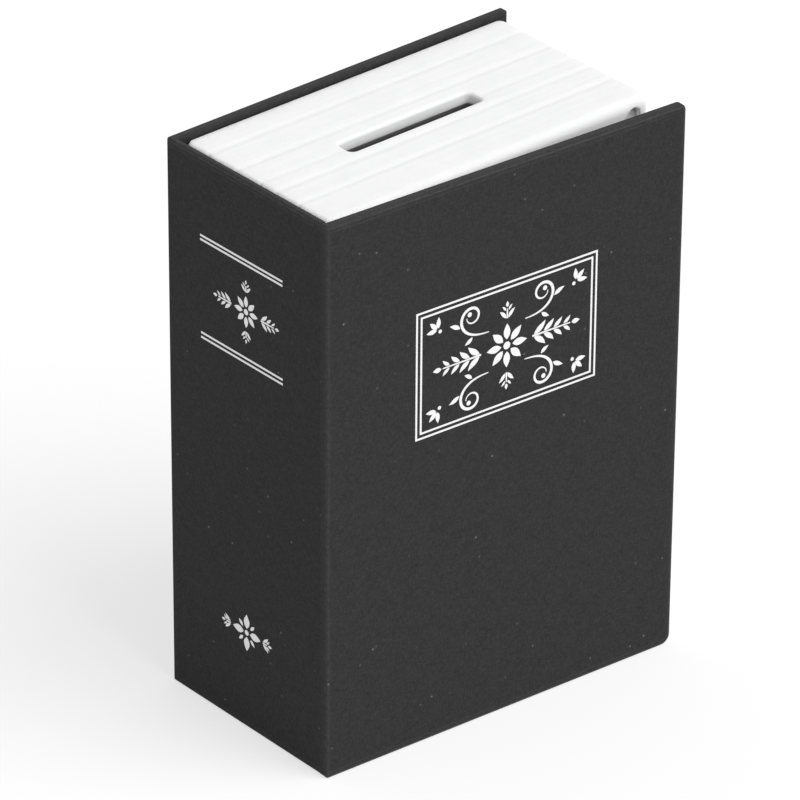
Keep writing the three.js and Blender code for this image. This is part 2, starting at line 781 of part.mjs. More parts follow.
// The book in its own axes, then moved so that the origin is under the middle of its outline
const book = new THREE.Group();
book.add(makeFrontCover(), makeHingePaper(), ...makeSpine(), ...makeBackCover());
book.add(makePageBlock(), makeSteelBox());
book.add(makeBoxLeaf(), makeHingePin(), makeLid(), makeLidLeaf());
book.add(makeLockBody(), makeLockNut(), makeLockPlug(), makeLockCam(), makeCamWasher(), makeCamScrew());

const outline = new THREE.Box3().setFromObject(book, true);
book.position.set(-(outline.min.x + outline.max.x) / 2, -(outline.min.y + outline.max.y) / 2, -outline.min.z);

const safe = new THREE.Group();
safe.add(book);

export default safe;
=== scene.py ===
"""Looks for the book diversion safe: cover paper with printed ornament, moulded page block, steel box,
lid and cam lock. Lengths here are in millimetres and are scaled to metres when a mesh is made."""

import json
import math

import bmesh
import bpy
from mathutils import Matrix, Vector, noise


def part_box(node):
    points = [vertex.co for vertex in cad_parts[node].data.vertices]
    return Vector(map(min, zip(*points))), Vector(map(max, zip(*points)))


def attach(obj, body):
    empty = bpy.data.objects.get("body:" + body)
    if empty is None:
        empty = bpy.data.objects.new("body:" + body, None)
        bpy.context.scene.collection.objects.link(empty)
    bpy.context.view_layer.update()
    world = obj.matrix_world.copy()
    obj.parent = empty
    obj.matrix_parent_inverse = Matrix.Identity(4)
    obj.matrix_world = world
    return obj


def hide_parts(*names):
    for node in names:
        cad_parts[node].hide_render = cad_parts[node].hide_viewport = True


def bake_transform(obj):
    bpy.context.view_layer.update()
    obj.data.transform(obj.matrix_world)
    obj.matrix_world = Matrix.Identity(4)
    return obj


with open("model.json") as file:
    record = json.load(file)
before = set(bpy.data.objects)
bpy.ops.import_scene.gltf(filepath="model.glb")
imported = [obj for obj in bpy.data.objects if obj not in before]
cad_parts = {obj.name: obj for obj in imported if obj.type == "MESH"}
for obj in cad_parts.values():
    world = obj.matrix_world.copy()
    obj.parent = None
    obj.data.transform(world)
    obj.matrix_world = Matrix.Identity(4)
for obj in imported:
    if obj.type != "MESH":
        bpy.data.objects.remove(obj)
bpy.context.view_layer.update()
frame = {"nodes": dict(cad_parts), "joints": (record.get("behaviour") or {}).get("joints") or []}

MM = 0.001


def box_mm(node):
    low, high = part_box(node)
    return low / MM, high / MM


# Driving sizes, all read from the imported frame
back_low, back_high = box_mm("cover_paper_back")
spine_low, spine_high = box_mm("cover_paper_spine")
front_low = box_mm("cover_paper_front")[0]
strip_low, strip_high = box_mm("hinge_paper")
block_low, block_high = box_mm("page_block")
lock_low, lock_high = box_mm("lock_body")
plug_low, plug_high = box_mm("lock_plug")
nut_low, nut_high = box_mm("lock_nut")
hinge = next(Vector(joint["pos_m"]) / MM for joint in frame["joints"] if joint["name"] == "cover_hinge")

COVER_WIDTH = back_high.x - back_low.x
COVER_STACK = back_high.y - back_low.y
SPINE_STACK = spine_high.x - spine_low.x
BOOK_HEIGHT = back_high.z - back_low.z
PAPER = strip_high.x - strip_low.x
BOOK = Vector((back_low.x, hinge.y - COVER_STACK, 0))
BOOK_THICKNESS = back_high.y - BOOK.y
JOINT_GAP = spine_low.y - hinge.y
BLOCK_THICKNESS = block_high.y - block_low.y
LOCK_AXIS = Vector(((lock_low.x + lock_high.x) / 2, (lock_low.z + lock_high.z) / 2))


def ajar_angle():
    """How far the front cover stands open at rest, from the box of its paper."""
    diagonal = math.hypot(COVER_WIDTH, COVER_STACK)
    return math.asin((hinge.y - front_low.y) / diagonal) - math.atan2(COVER_STACK, COVER_WIDTH)


AJAR = ajar_angle()
COVER_FRAME = Matrix.Translation(Vector((hinge.x, hinge.y, 0)) * MM) @ Matrix.Rotation(-AJAR, 4, "Z")

# Camera, in the book's own axes: where it stands and what it looks along
CAMERA_AZIMUTH = math.radians(-41.19)
CAMERA_ELEVATION = math.radians(30.073)
CAMERA_ROLL = math.radians(0.402)
CAMERA_DISTANCE = 1183.108
CAMERA_RIGHT = 13.239
CAMERA_UP = 69.191
CAMERA_CLIP_M = (0.1, 20)
FOCAL_PIXELS = 6481.88
PICTURE_PIXELS = 800
SENSOR_WIDTH = 36


def add_to_scene(name, data):
    obj = bpy.data.objects.new(name, data)
    bpy.context.scene.collection.objects.link(obj)
    return obj


def make_camera():
    turn = (Matrix.Rotation(CAMERA_AZIMUTH, 3, "Z") @ Matrix.Rotation(math.pi / 2 - CAMERA_ELEVATION, 3, "X")
            @ Matrix.Rotation(CAMERA_ROLL, 3, "Z"))
    place = BOOK + turn @ Vector((CAMERA_RIGHT, CAMERA_UP, CAMERA_DISTANCE))
    data = bpy.data.cameras.new("camera")
    data.sensor_width = SENSOR_WIDTH
    data.lens = FOCAL_PIXELS / PICTURE_PIXELS * SENSOR_WIDTH
    data.clip_start, data.clip_end = CAMERA_CLIP_M
    camera = add_to_scene("camera", data)
    camera.matrix_world = Matrix.Translation(place * MM) @ turn.to_4x4()
    bpy.context.scene.camera = camera


# Mesh helpers
MERGE_DISTANCE = 1e-4
DEGENERATE_LENGTH = 1e-5
ARC_STEPS = 6
ALONG_Y = (0, 2, 1)
ALONG_Z = (0, 1, 2)
CORNERS = ((-1, -1), (1, -1), (1, 1), (-1, 1))


def make_object(name, points, faces, matrix=None, merge=MERGE_DISTANCE, kept=()):
    """A mesh from points in millimetres, placed by matrix. What is kept on its points has a name, a kind,
    a property and the numbers themselves."""
    mesh = bpy.data.meshes.new(name)
    mesh.from_pydata([tuple(p) for p in points], [], faces)
    for key, kind, value, numbers in kept:
        mesh.attributes.new(key, kind, "POINT").data.foreach_set(value, numbers)
    work = bmesh.new()
    work.from_mesh(mesh)
    bmesh.ops.remove_doubles(work, verts=work.verts, dist=merge)
    bmesh.ops.dissolve_degenerate(work, dist=DEGENERATE_LENGTH, edges=work.edges)
    bmesh.ops.recalc_face_normals(work, faces=work.faces)
    work.to_mesh(mesh)
    work.free()
    mesh.transform(Matrix.Scale(MM, 4))
    obj = add_to_scene(name, mesh)
    if matrix is not None:
        obj.matrix_world = matrix
    return obj


def smooth(obj, degrees):
    obj.data.shade_smooth()
    obj.data.set_sharp_from_angle(angle=math.radians(degrees))


def modify(obj, kind, **settings):
    modifier = obj.modifiers.new(kind.lower(), kind)
    for key, value in settings.items():
        setattr(modifier, key, value)


def cut(obj, cutters):
    """Cuts each of the cutters out of obj, and removes them."""
    for cutter in cutters:
        modify(obj, "BOOLEAN", solver="MANIFOLD", object=cutter)
    graph = bpy.context.evaluated_depsgraph_get()
    made = bpy.data.meshes.new_from_object(obj.evaluated_get(graph))
    made.name = obj.data.name
    obj.modifiers.clear()
    obj.data = made
    for cutter in cutters:
        bpy.data.objects.remove(cutter)


def ring_faces(rings, count, closed=False, ends=True):
    """Quads between rings of count points each, and faces over the two ends of rings that don't close."""
    faces = []
    for ring in range(rings if closed else rings - 1):
        a, b = ring * count, (ring + 1) % rings * count
        for i in range(count):
            j = (i + 1) % count
            faces.append((a + i, a + j, b + j, b + i))
    if ends and not closed:
        last = (rings - 1) * count
        faces += [tuple(range(count)), tuple(range(last, last + count))]
    return faces


def lofted(name, levels, axes):
    """A closed solid through outlines of equal length: levels are (outline, height), and axes says which
    coordinates the outline's two numbers and the height become."""
    points = []
    for outline, height in levels:
        for a, b in outline:
            place = [0, 0, 0]
            place[axes[0]], place[axes[1]], place[axes[2]] = a, b, height
            points.append(place)
    return make_object(name, points, ring_faces(len(levels), len(levels[0][0])))


def rounded_outline(left, right, bottom, top, radius):
    """Points round a rectangle with rounded corners, anticlockwise."""
    points = []
    for cx, cy, start in ((right - radius, top - radius, 0), (left + radius, top - radius, 90),
                          (left + radius, bottom + radius, 180), (right - radius, bottom + radius, 270)):
        for step in range(ARC_STEPS + 1):
            angle = math.radians(start + 90 * step / ARC_STEPS)
            points.append((cx + radius * math.cos(angle), cy + radius * math.sin(angle)))
    return points


def lerp(a, b, share):
    return a + (b - a) * share


def quarter_turn(steps, first=0):
    """Angle, sine and cosine at equal steps over a quarter turn."""
    for step in range(first, steps + 1):
        angle = math.pi / 2 * step / steps
        yield angle, math.sin(angle), math.cos(angle)


# Node trees. Texture scales are per millimetre, and grey levels are those of an 8-bit picture.
NOISE_RANGE = (0.3, 0.7)


def feed(target, inputs):
    """Gives a node's inputs their values, or links them to the outputs given."""
    for key, value in inputs.items():
        if isinstance(value, bpy.types.NodeSocket):
            target.id_data.links.new(value, target.inputs[key])
        else:
            target.inputs[key].default_value = value


def node(kind, inputs, tree=None, **settings):
    """A new node, in the tree that is given or else in that of the outputs it is linked to."""
    tree = tree or next(v.id_data for v in inputs.values() if isinstance(v, bpy.types.NodeSocket))
    made = tree.nodes.new("ShaderNode" + kind)
    for key, value in settings.items():
        setattr(made, key, value)
    feed(made, inputs)
    return made


def grey(level, tint=(1, 1, 1)):
    """Linear colour of a grey level above 10."""
    value = ((level / 255 + 0.055) / 1.055) ** 2.4
    return (value * tint[0], value * tint[1], value * tint[2], 1)


def coordinates(tree, attribute=None, scale=(1, 1, 1)):
    """Vector in millimetres: the object's own coordinates or a stored attribute, scaled."""
    if attribute:
        source = node("Attribute", {}, tree, attribute_name=attribute).outputs["Vector"]
    else:
        source = node("TexCoord", {}, tree).outputs["Object"]
    return node("Mapping", {"Vector": source, "Scale": [s / MM for s in scale]}).outputs["Vector"]


def noise_at(vector, scale, detail=2.0, roughness=0.5):
    inputs = {"Vector": vector, "Scale": scale, "Detail": detail, "Roughness": roughness}
    return node("TexNoise", inputs).outputs["Fac"]


def maths(operation, a, b=0.0):
    return node("Math", {0: a, 1: b}, operation=operation).outputs[0]


def times(a, b):
    return maths("MULTIPLY", a, b)


def higher(a, b):
    return maths("MAXIMUM", a, b)


def ranged(value, low, high, to_low=0.0, to_high=1.0):
    inputs = {"Value": value, "From Min": low, "From Max": high, "To Min": to_low, "To Max": to_high}
    return node("MapRange", inputs).outputs["Result"]


def spread(value, to_low=0.0, to_high=1.0):
    """A noise texture's usual range, stretched."""
    return ranged(value, *NOISE_RANGE, to_low, to_high)


def mixed(factor, a, b):
    return node("Mix", {"Factor": factor, 6: a, 7: b}, data_type="RGBA").outputs[2]


def bump(height, distance, strength=1.0):
    inputs = {"Height": height, "Distance": distance * MM, "Strength": strength}
    return node("Bump", inputs).outputs["Normal"]


# Looks: each gives its shader's inputs
LINEN_SCALE = 2.8
LINEN_STRETCH = 0.3
DUST_SCALE = 0.3
DUST_FADE = (0.02, 0.09)
DUST_CHOICE = (0.4, 0.9)
DUST_STRENGTH = 0.85
EDGE_STRENGTH = 0.5
WORN_STRENGTH = 0.35
LINE_STRENGTH = 0.42
CREASE_STRENGTH = 0.5
# Lines worn beside the edges: inset and half width
WORN_LINE = (0.42, 0.16)
CREASE = (1.25, 0.14)
COOL_WHITE = (0.99, 0.99, 1)
COOL_GREY = (0.99, 0.98, 1.02)
COOL_ZINC = (0.98, 0.99, 1)


def edge_line(distance, centre, half_width):
    """1 on a line at a set distance from an edge, fading to 0 on either side of it."""
    away = maths("ABSOLUTE", maths("SUBTRACT", distance, centre))
    return ranged(away, 0.0, half_width, 1.0, 0.0)


def sheet_places(tree):
    """Distances in millimetres to the sheet's upper or lower edge and to its ends, 1 on the outside, and
    1 on the narrow faces over the boards' edges."""
    flat = node("Attribute", {}, tree, attribute_name="sheet").outputs["Vector"]
    scaled = node("VectorMath", {0: flat, "Scale": 1 / MM}, operation="SCALE").outputs[0]
    along, height, side = node("SeparateXYZ", {0: scaled}).outputs
    to_head = maths("MINIMUM", height, maths("SUBTRACT", BOOK_HEIGHT, height))
    to_end = maths("MINIMUM", along, maths("SUBTRACT", SHEET_COLUMNS[-1][0], along))
    edge = times(ranged(side, 0.0, 0.5),
                 ranged(side, INNER_SIDE - 0.5, INNER_SIDE, 1.0, 0.0))
    return to_head, to_end, ranged(side, 0.0, 1.0, 1.0, 0.0), edge


def cover_paper(tree):
    """Charcoal book paper: fine linen grain, light specks of dust, and folds worn lighter."""
    plain = coordinates(tree, "sheet")
    warp, weft = [noise_at(coordinates(tree, "sheet", scale), LINEN_SCALE)
                  for scale in ((1, LINEN_STRETCH, 1), (LINEN_STRETCH, 1, 1))]
    grain = higher(warp, weft)
    cloud = noise_at(plain, scale=0.35, detail=3.0)
    tone = mixed(spread(cloud), grey(47), grey(52))
    tone = mixed(ranged(grain, 0.45, 0.75, to_high=0.8), tone, grey(64))
    cells = node("TexVoronoi", {"Vector": plain, "Scale": DUST_SCALE})
    speck = ranged(cells.outputs["Distance"], *DUST_FADE, 1.0, 0.0)
    chosen = node("SeparateColor", {"Color": cells.outputs["Color"]}).outputs["Red"]
    speck = times(speck, ranged(chosen, *DUST_CHOICE, to_high=DUST_STRENGTH))
    tone = mixed(speck, tone, grey(128))
    to_head, to_end, outside, edge = sheet_places(tree)
    tone = mixed(times(edge, EDGE_STRENGTH), tone, grey(68))
    dashes = ranged(noise_at(plain, scale=0.8, detail=3.0), 0.25, 0.6, to_low=0.25)
    line = higher(edge_line(to_head, *WORN_LINE), edge_line(to_end, *WORN_LINE))
    line = higher(line, times(edge_line(to_head, *CREASE), CREASE_STRENGTH))
    line = times(times(line, dashes), outside)
    patches = spread(noise_at(plain, scale=1.1, detail=3.0), to_low=0.35)
    wear = node("Attribute", {}, tree, attribute_name="wear").outputs["Fac"]
    wear = times(times(wear, patches), WORN_STRENGTH)
    tone = mixed(higher(wear, times(line, LINE_STRENGTH)), tone, grey(112))
    return {"Base Color": tone, "Roughness": 0.75, "Specular IOR Level": 0.05,
            "Normal": bump(grain, 0.05, 0.6)}


def white_foil(tree):
    """White foil print, thin enough to show a little of the paper's grain."""
    vector = coordinates(tree)
    worn = ranged(noise_at(vector, scale=3.2, detail=3.0, roughness=0.6), 0.3, 0.45, to_low=0.75)
    return {"Base Color": mixed(worn, grey(150), grey(247)), "Roughness": 0.5,
            "Normal": bump(noise_at(vector, scale=2.2), 0.02)}


def smooth_paper(tree, level, scale):
    """Plain sheet or board: fibres, a soft mottle and a matt surface."""
    fibres = noise_at(coordinates(tree), scale, detail=6.0, roughness=0.65)
    tone = mixed(spread(fibres), grey(level - 6), grey(level + 6))
    return {"Base Color": tone, "Roughness": 0.85, "Specular IOR Level": 0.3,
            "Normal": bump(fibres, 0.03)}


def page_white(tree):
    """White moulded plastic with the fine lines of the page edges, as bumps and as painted shade: the lines
    darken the white a little.
    """
    lines = noise_at(coordinates(tree, scale=(0.02, 1, 0.02)), scale=3.5, detail=3.0, roughness=0.6)
    cloud = noise_at(coordinates(tree), scale=0.12)
    tone = mixed(spread(cloud), grey(246, COOL_WHITE), grey(250))
    # Painted shade: the page lines darken the white plastic a little, standing in for the shade of the
    # moulded ribs.
    tone = mixed(spread(lines, to_high=0.4), tone, grey(240, COOL_WHITE))
    return {"Base Color": tone, "Roughness": 0.5, "Specular IOR Level": 0.35, "Subsurface Weight": 0.7,
            "Subsurface Radius": (1, 1, 1), "Subsurface Scale": 1.5 * MM,
            "Normal": bump(lines, 0.05, 0.35)}


def powder_coat(tree):
    """Dark grey powder coat with its fine orange peel."""
    vector = coordinates(tree)
    peel = noise_at(vector, scale=1.6)
    cloud = noise_at(vector, scale=0.15, detail=3.0)
    return {"Base Color": mixed(spread(cloud), grey(80, COOL_GREY), grey(88, COOL_GREY)),
            "Roughness": spread(peel, 0.4, 0.55), "Normal": bump(peel, 0.04, 0.7)}


def metal(tree, level, roughness, scratches=(1, 1, 1), tint=(1, 1, 1)):
    """Plated metal with a slight mottle and fine scratches."""
    brushed = noise_at(coordinates(tree, scale=scratches), scale=2.5, detail=4.0, roughness=0.6)
    cloud = noise_at(coordinates(tree), scale=0.4, detail=3.0)
    return {"Metallic": 1, "Base Color": mixed(spread(cloud), grey(level - 10, tint),
                                               grey(level + 6, tint)),
            "Roughness": spread(brushed, roughness - 0.06, roughness + 0.08),
            "Normal": bump(brushed, 0.01, 0.6)}


def make_material(name, look, *details):
    material = bpy.data.materials.new(name)
    material.use_nodes = True
    tree = material.node_tree
    feed(tree.nodes["Principled BSDF"], look(tree, *details))
    return material


def dress(obj, material):
    obj.data.materials.clear()
    obj.data.materials.append(MATERIALS[material])
    return obj


def finish(piece, degrees, material, body, stands_for):
    smooth(piece, degrees)
    dress(piece, material)
    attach(piece, body)
    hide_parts(stands_for)


# Cover paper: one sheet folded over three boards
OUTER_FOLD = 0.45
INNER_FOLD = 0.3
TURN_IN = 12
FRONT_HEAD_CORNER = 1.2
FRONT_TAIL_CORNER = 2.0
BACK_CORNER = 0.5
SPINE_FOLD = 0.6
JOINT_ROOM = 0.5
FACE_MARGIN = 3.0
FACE_STEPS = 12
FOLD_STEPS = 5
COLUMN_GAP = 0.02
FORE_EDGE_COLUMNS = [0, INNER_FOLD, OUTER_FOLD, 0.8, 1.2, 2.2, FACE_MARGIN]
JOINT_COLUMNS = [FACE_MARGIN, 1.6, 0.9, OUTER_FOLD]
JOINT_SHARES = (0.3, 0.65, 1.0)
STRIP_SHARES = (0.5, 1.0)
BACK_FOLD_COLUMN = 0.4
OUTER_RINGS = [(FACE_MARGIN, 0), (2.0, 0), (1.2, 0.05), (0.8, 0.15)]
INNER_RINGS = [(1.2, 0), (FACE_MARGIN, 0), (TURN_IN, 0), (TURN_IN, PAPER), (FACE_MARGIN, PAPER)]
OUTER_FOLD_WEAR = 0.3
INNER_FOLD_WEAR = 0.2
JOINT_FOLD_WEAR = 0.5
JOINT_FACE_WEAR = 0.15
JOINT_EDGE_WEAR = 0.35
JOINT_EDGE_WIDTH = 0.5
INNER_SIDE = 3
SHEET_MERGE = 1e-3
COVER_SMOOTH = 40
TINY = 1e-9


def sheet_columns():
    """Where the sheet runs, seen from above: from the front cover's fore-edge over the spine to the back
    cover's fore-edge. Each column has its distance along the sheet, its outer and inner point, the
    direction into the board at each of them, and how worn it is."""
    columns = []

    def add(along, outer, inner, outer_in, inner_in, wear=0.0):
        columns.append((along, Vector(outer), Vector(inner), Vector(outer_in), Vector(inner_in), wear))

    stack, width, fold = COVER_STACK, COVER_WIDTH, OUTER_FOLD
    turn = Matrix.Rotation(-AJAR, 2)
    pivot = Vector((hinge.x, hinge.y))

    def add_front(along, outer, inner, outer_in, inner_in, wear):
        add(along, pivot + turn @ Vector(outer), pivot + turn @ Vector(inner),
            turn @ Vector(outer_in), turn @ Vector(inner_in), wear)

    middle = [lerp(FACE_MARGIN, width - FACE_MARGIN, i / FACE_STEPS) for i in range(1, FACE_STEPS)]
    middle += [TURN_IN, width - TURN_IN]
    for along in sorted(FORE_EDGE_COLUMNS + middle + [width - x for x in JOINT_COLUMNS]):
        x = width - along
        worn = max(0.0, 1 - abs(x - fold) / JOINT_EDGE_WIDTH) * JOINT_EDGE_WEAR
        add_front(along, (x, -stack), (max(x, JOINT_ROOM), 0), (0, 1), (0, -1), worn)
    along = width - fold
    for angle, s, c in quarter_turn(FOLD_STEPS, 1):
        add_front(along + fold * angle, (fold - fold * s, -stack + fold - fold * c),
                  (JOINT_ROOM, 0), (s, c), (-s / 2, -1 + s / 2), JOINT_FOLD_WEAR)
    along += fold * math.pi / 2
    for share in JOINT_SHARES:
        y = lerp(-stack + fold, 0, share)
        add_front(along + share * (stack - fold), (0, y), (JOINT_ROOM, 0), (1, 0),
                  (-(1 + share) / 2, -(1 - share) / 2), JOINT_FACE_WEAR)
    along += stack - fold
    left = BOOK.x
    for share in STRIP_SHARES:
        y = hinge.y + share * JOINT_GAP
        add(along + share * JOINT_GAP, (left, y), (left + JOINT_ROOM, y), (1, 0), (-1, 0))
    outer_back = BOOK.y + BOOK_THICKNESS
    inner_back = outer_back - stack
    spine_start = hinge.y + JOINT_GAP + COLUMN_GAP
    spine_end = outer_back - SPINE_FOLD
    spine_places = [lerp(spine_start, inner_back, i / FACE_STEPS) for i in range(FACE_STEPS + 1)]
    spine_places += [inner_back + BACK_FOLD_COLUMN, spine_end]
    for y in sorted(spine_places):
        add(along + y - hinge.y, (left, y), (left + SPINE_STACK, min(y, inner_back)), (1, 0), (-1, 0))
    along += spine_end - hinge.y
    for angle, s, c in quarter_turn(FOLD_STEPS, 1):
        add(along + SPINE_FOLD * angle,
            (left + SPINE_FOLD * (1 - c), outer_back - SPINE_FOLD * (1 - s)),
            (left + SPINE_STACK, inner_back), (c, -s), (-c, s), JOINT_FOLD_WEAR)
    along += SPINE_FOLD * math.pi / 2
    places = [lerp(SPINE_STACK, width - FACE_MARGIN, i / FACE_STEPS) for i in range(FACE_STEPS)]
    places += [width - TURN_IN] + [width - x for x in FORE_EDGE_COLUMNS]
    for x in sorted(places):
        add(along + x - SPINE_FOLD, (left + x, outer_back), (left + max(x, SPINE_STACK), inner_back),
            (0, -1), (0, 1))
    return columns


SHEET_COLUMNS = sheet_columns()


def sheet_rings():
    """Rings from the middle of the outer face, over the edge, to the turn-in and back on the inside:
    inset from the sheet's outline, side (0 outer, 1 inner), depth, how far a fold draws it in, wear."""
    def fold(radius, side, depth, wear=0):
        """A quarter turn up to the sheet's edge, or away from it on the way on."""
        bend, away = radius - depth, (side == 1) != (depth == PAPER)
        turns = [(bend * (1 - s), bend * (1 - c)) for _, s, c in quarter_turn(FOLD_STEPS)]
        return [(depth + (b if away else a), side, depth, a if away else b, wear) for a, b in turns]

    rings = [(inset, 0, 0, 0, wear) for inset, wear in OUTER_RINGS]
    rings += fold(OUTER_FOLD, 0, 0, OUTER_FOLD_WEAR) + fold(INNER_FOLD, 1, 0, INNER_FOLD_WEAR)
    rings += [(inset, 1, depth, 0, 0) for inset, depth in INNER_RINGS]
    rings += fold(INNER_FOLD, 1, PAPER) + fold(OUTER_FOLD, 0, PAPER)
    return rings + [(FACE_MARGIN, 0, PAPER, 0, 0)]


def outline_places(inset):
    """The sheet's outline moved inwards: (distance along the sheet, height) round it, clockwise from the
    upper end at the front cover's fore-edge. Corners are rounded."""
    places = []
    top, bottom = BOOK_HEIGHT - inset, inset

    def arc(centre_s, centre_z, radius, start):
        for step in range(ARC_STEPS + 1):
            angle = start - math.pi / 2 * step / ARC_STEPS
            places.append((centre_s + radius * math.cos(angle), centre_z + radius * math.sin(angle)))

    head_arc, tail_arc, back_arc = [max(corner - inset, 0) for corner in
                                    (FRONT_HEAD_CORNER, FRONT_TAIL_CORNER, BACK_CORNER)]
    end = SHEET_COLUMNS[-1][0] - inset - back_arc

    def straight(start):
        return [min(max(column[0], start), end) for column in SHEET_COLUMNS]

    arc(inset + head_arc, top - head_arc, head_arc, math.pi)
    places += [(s, top) for s in straight(inset + head_arc)]
    arc(end, top - back_arc, back_arc, math.pi / 2)
    arc(end, bottom + back_arc, back_arc, 0)
    places += [(s, bottom) for s in reversed(straight(inset + tail_arc))]
    arc(inset + tail_arc, bottom + tail_arc, tail_arc, -math.pi / 2)
    return places


def column_at(along):
    """The column at a distance along the sheet, between its two neighbours."""
    for a, b in zip(SHEET_COLUMNS, SHEET_COLUMNS[1:]):
        if along <= b[0] + TINY:
            share = (along - a[0]) / max(b[0] - a[0], TINY)
            return [lerp(p, q, min(max(share, 0), 1)) for p, q in zip(a, b)]
    return SHEET_COLUMNS[-1]


def make_cover_sheet():
    """The folded sheet, which keeps its flat coordinates and its wear on its points."""
    rings = sheet_rings()
    points, flat, wear = [], [], []
    for inset, side, depth, fold, ring_wear in rings:
        reach = OUTER_FOLD + INNER_FOLD - 2 * depth
        for along, z in outline_places(inset):
            _, outer, inner, outer_in, inner_in, column_wear = column_at(along)
            room = (outer - inner).length - 2 * depth - COLUMN_GAP
            base, inward = (inner, inner_in) if side else (outer, outer_in)
            place = base + inward * (depth + fold * max(0.0, min(1.0, room / reach)))
            points.append((place.x, place.y, z))
            flat += [along * MM, z * MM, side * INNER_SIDE * MM]
            wear.append(max(ring_wear, column_wear if side == 0 and depth == 0 else 0))
    count = len(points) // len(rings)
    faces = ring_faces(len(rings), count, ends=False)
    n, corner = len(SHEET_COLUMNS), ARC_STEPS + 1
    for start in (0, (len(rings) - 1) * count):
        for i in range(n - 1):
            upper, lower = start + corner + i, start + 3 * corner + 2 * n - 2 - i
            faces.append((upper, upper + 1, lower, lower + 1))
    return make_object("cover_sheet", points, faces, None, SHEET_MERGE,
                       [("sheet", "FLOAT_VECTOR", "vector", flat), ("wear", "FLOAT", "value", wear)])


def add_cover():
    cover = dress(make_cover_sheet(), "cover_paper")
    smooth(cover, COVER_SMOOTH)
    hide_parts("cover_paper_front", "cover_paper_spine", "cover_paper_back", "hinge_paper")
    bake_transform(cover)


# White foil printed on the cover: rules, frames and a plain leaf ornament. Places on the front cover are
# measured from its spine side and the tail, those on the spine from the front of the closed book.
FOIL_RISE = 0.025
FOIL_ROOT = 0.01
FRONT_CENTRE = Vector((39.9, 77.8))
FRAME_HALVES = (Vector((20.2, 12.87)), Vector((19.2, 11.85)))
FRAME_RULE = 0.4
SPINE_CENTRE = Vector((22.4, 88.15))
FOOT_CENTRE = Vector((22.8, 20.6))
SPINE_RULE = 0.42
SPINE_RULE_ENDS = (12.3, 35.1)
SPINE_RULE_HEIGHTS = (98.6, 97.75, 78.65, 77.7)
STEM_WIDTH = 0.4
STEM_TIP_SHARE = 0.6
LEAF_STEPS = 8
LEAF_ANGLE = math.radians(38)
LEAF_GAP = 0.3
LEAF_BEND = 0.5
LEAF_WIDTH_SHARE = 0.34
LEAF_SHRINK_SHARE = 0.4
LEAF_FULLNESS = 0.85
LEAF_PLACE_SHARES = (0.04, 0.82)
BUD_LENGTH_SHARE = 0.55
BUD_WIDTH_SHARE = 0.3
EYE_SHARE = 0.62
TENDRIL_STEPS = 48
TENDRIL_END_SHARE = 0.3
SCROLL_DOT_ANGLE = 0.6
SCROLL_DOT_AWAY_SHARE = 1.5
SCROLL_DOT_RADIUS_SHARE = 0.8
SIDEWAYS = (0, math.pi)
UP_AND_DOWN = (math.pi / 2, -math.pi / 2)
TENDRIL_START = Vector((4.1, 4.2))
# Leaves beside the tendril: place, angle, length, width, bend
TENDRIL_LEAVES = [(Vector((7.8, 4.25)), math.radians(-36), 2.1, 0.8, 0.5),
                  (Vector((10.6, 6.9)), math.radians(28), 2.6, 0.9, -0.4)]
TREFOIL_START = Vector((15.5, 8.3))
TREFOIL_ANGLES = (math.radians(-3), math.radians(45), math.radians(93))
TREFOIL_DOT = Vector((15.05, 7.85))


def strip(points, widths):
    """Two rows of points beside a line, half its width away on either side."""
    rows = ([], [])
    for i, point in enumerate(points):
        along = points[min(i + 1, len(points) - 1)] - points[max(i - 1, 0)]
        across = Vector((-along.y, along.x)).normalized() * widths[i] / 2
        rows[0].append(point + across)
        rows[1].append(point - across)
    return rows


def rectangle_rows(half, width):
    """The outer and inner corners of a rectangular line about the origin."""
    return [[Vector(corner) * (half + Vector((away, away))) for corner in CORNERS]
            for away in (width / 2, -width / 2)]


def toward(angle, length=1.0):
    return Vector((math.cos(angle), math.sin(angle))) * length


def leaf(base, angle, length, width, bend=0.0):
    """A pointed leaf that starts at base and bends as it grows."""
    points, widths = [base.copy()], [0.0]
    for i in range(1, LEAF_STEPS + 1):
        share = i / LEAF_STEPS
        points.append(points[-1] + toward(angle + bend * (share - 0.5), length / LEAF_STEPS))
        widths.append(width * math.sin(math.pi * share ** LEAF_FULLNESS) if i < LEAF_STEPS else 0.0)
    return strip(points, widths)


def dot(centre, radius):
    angles = [math.pi * i / LEAF_STEPS for i in range(LEAF_STEPS + 1)]
    points = [centre - Vector((radius * math.cos(a), 0)) for a in angles]
    return strip(points, [2 * radius * math.sin(a) for a in angles])


def petals(count, inner, length, width, turn=0.0):
    """Leaves that start round a circle of radius inner."""
    angles = [turn + 2 * math.pi * i / count for i in range(count)]
    return [leaf(toward(angle, inner), angle, length, width) for angle in angles]


def rosette(count, inner, length, width):
    return [dot(Vector((0, 0)), inner * EYE_SHARE)] + petals(count, inner, length, width)


def sprays(angles, distance, length, leaf_length, pairs):
    """Stems that grow outwards, with leaves that get smaller towards the bud at the tip."""
    shapes = []
    for angle in angles:
        start = toward(angle, distance)
        end = start + toward(angle, length)
        shapes.append(strip([start, end], [STEM_WIDTH, STEM_WIDTH * STEM_TIP_SHARE]))
        for i in range(pairs):
            share = i / max(pairs - 1, 1)
            size = leaf_length * (1 - LEAF_SHRINK_SHARE * share)
            base = start.lerp(end, lerp(*LEAF_PLACE_SHARES, share))
            for side in (1, -1):
                beside = base + toward(angle + side * math.pi / 2, LEAF_GAP)
                shapes.append(leaf(beside, angle + side * LEAF_ANGLE, size, size * LEAF_WIDTH_SHARE,
                                   side * LEAF_BEND))
        shapes.append(leaf(end + toward(angle, LEAF_GAP), angle, leaf_length * BUD_LENGTH_SHARE,
                           leaf_length * BUD_WIDTH_SHARE))
    return shapes


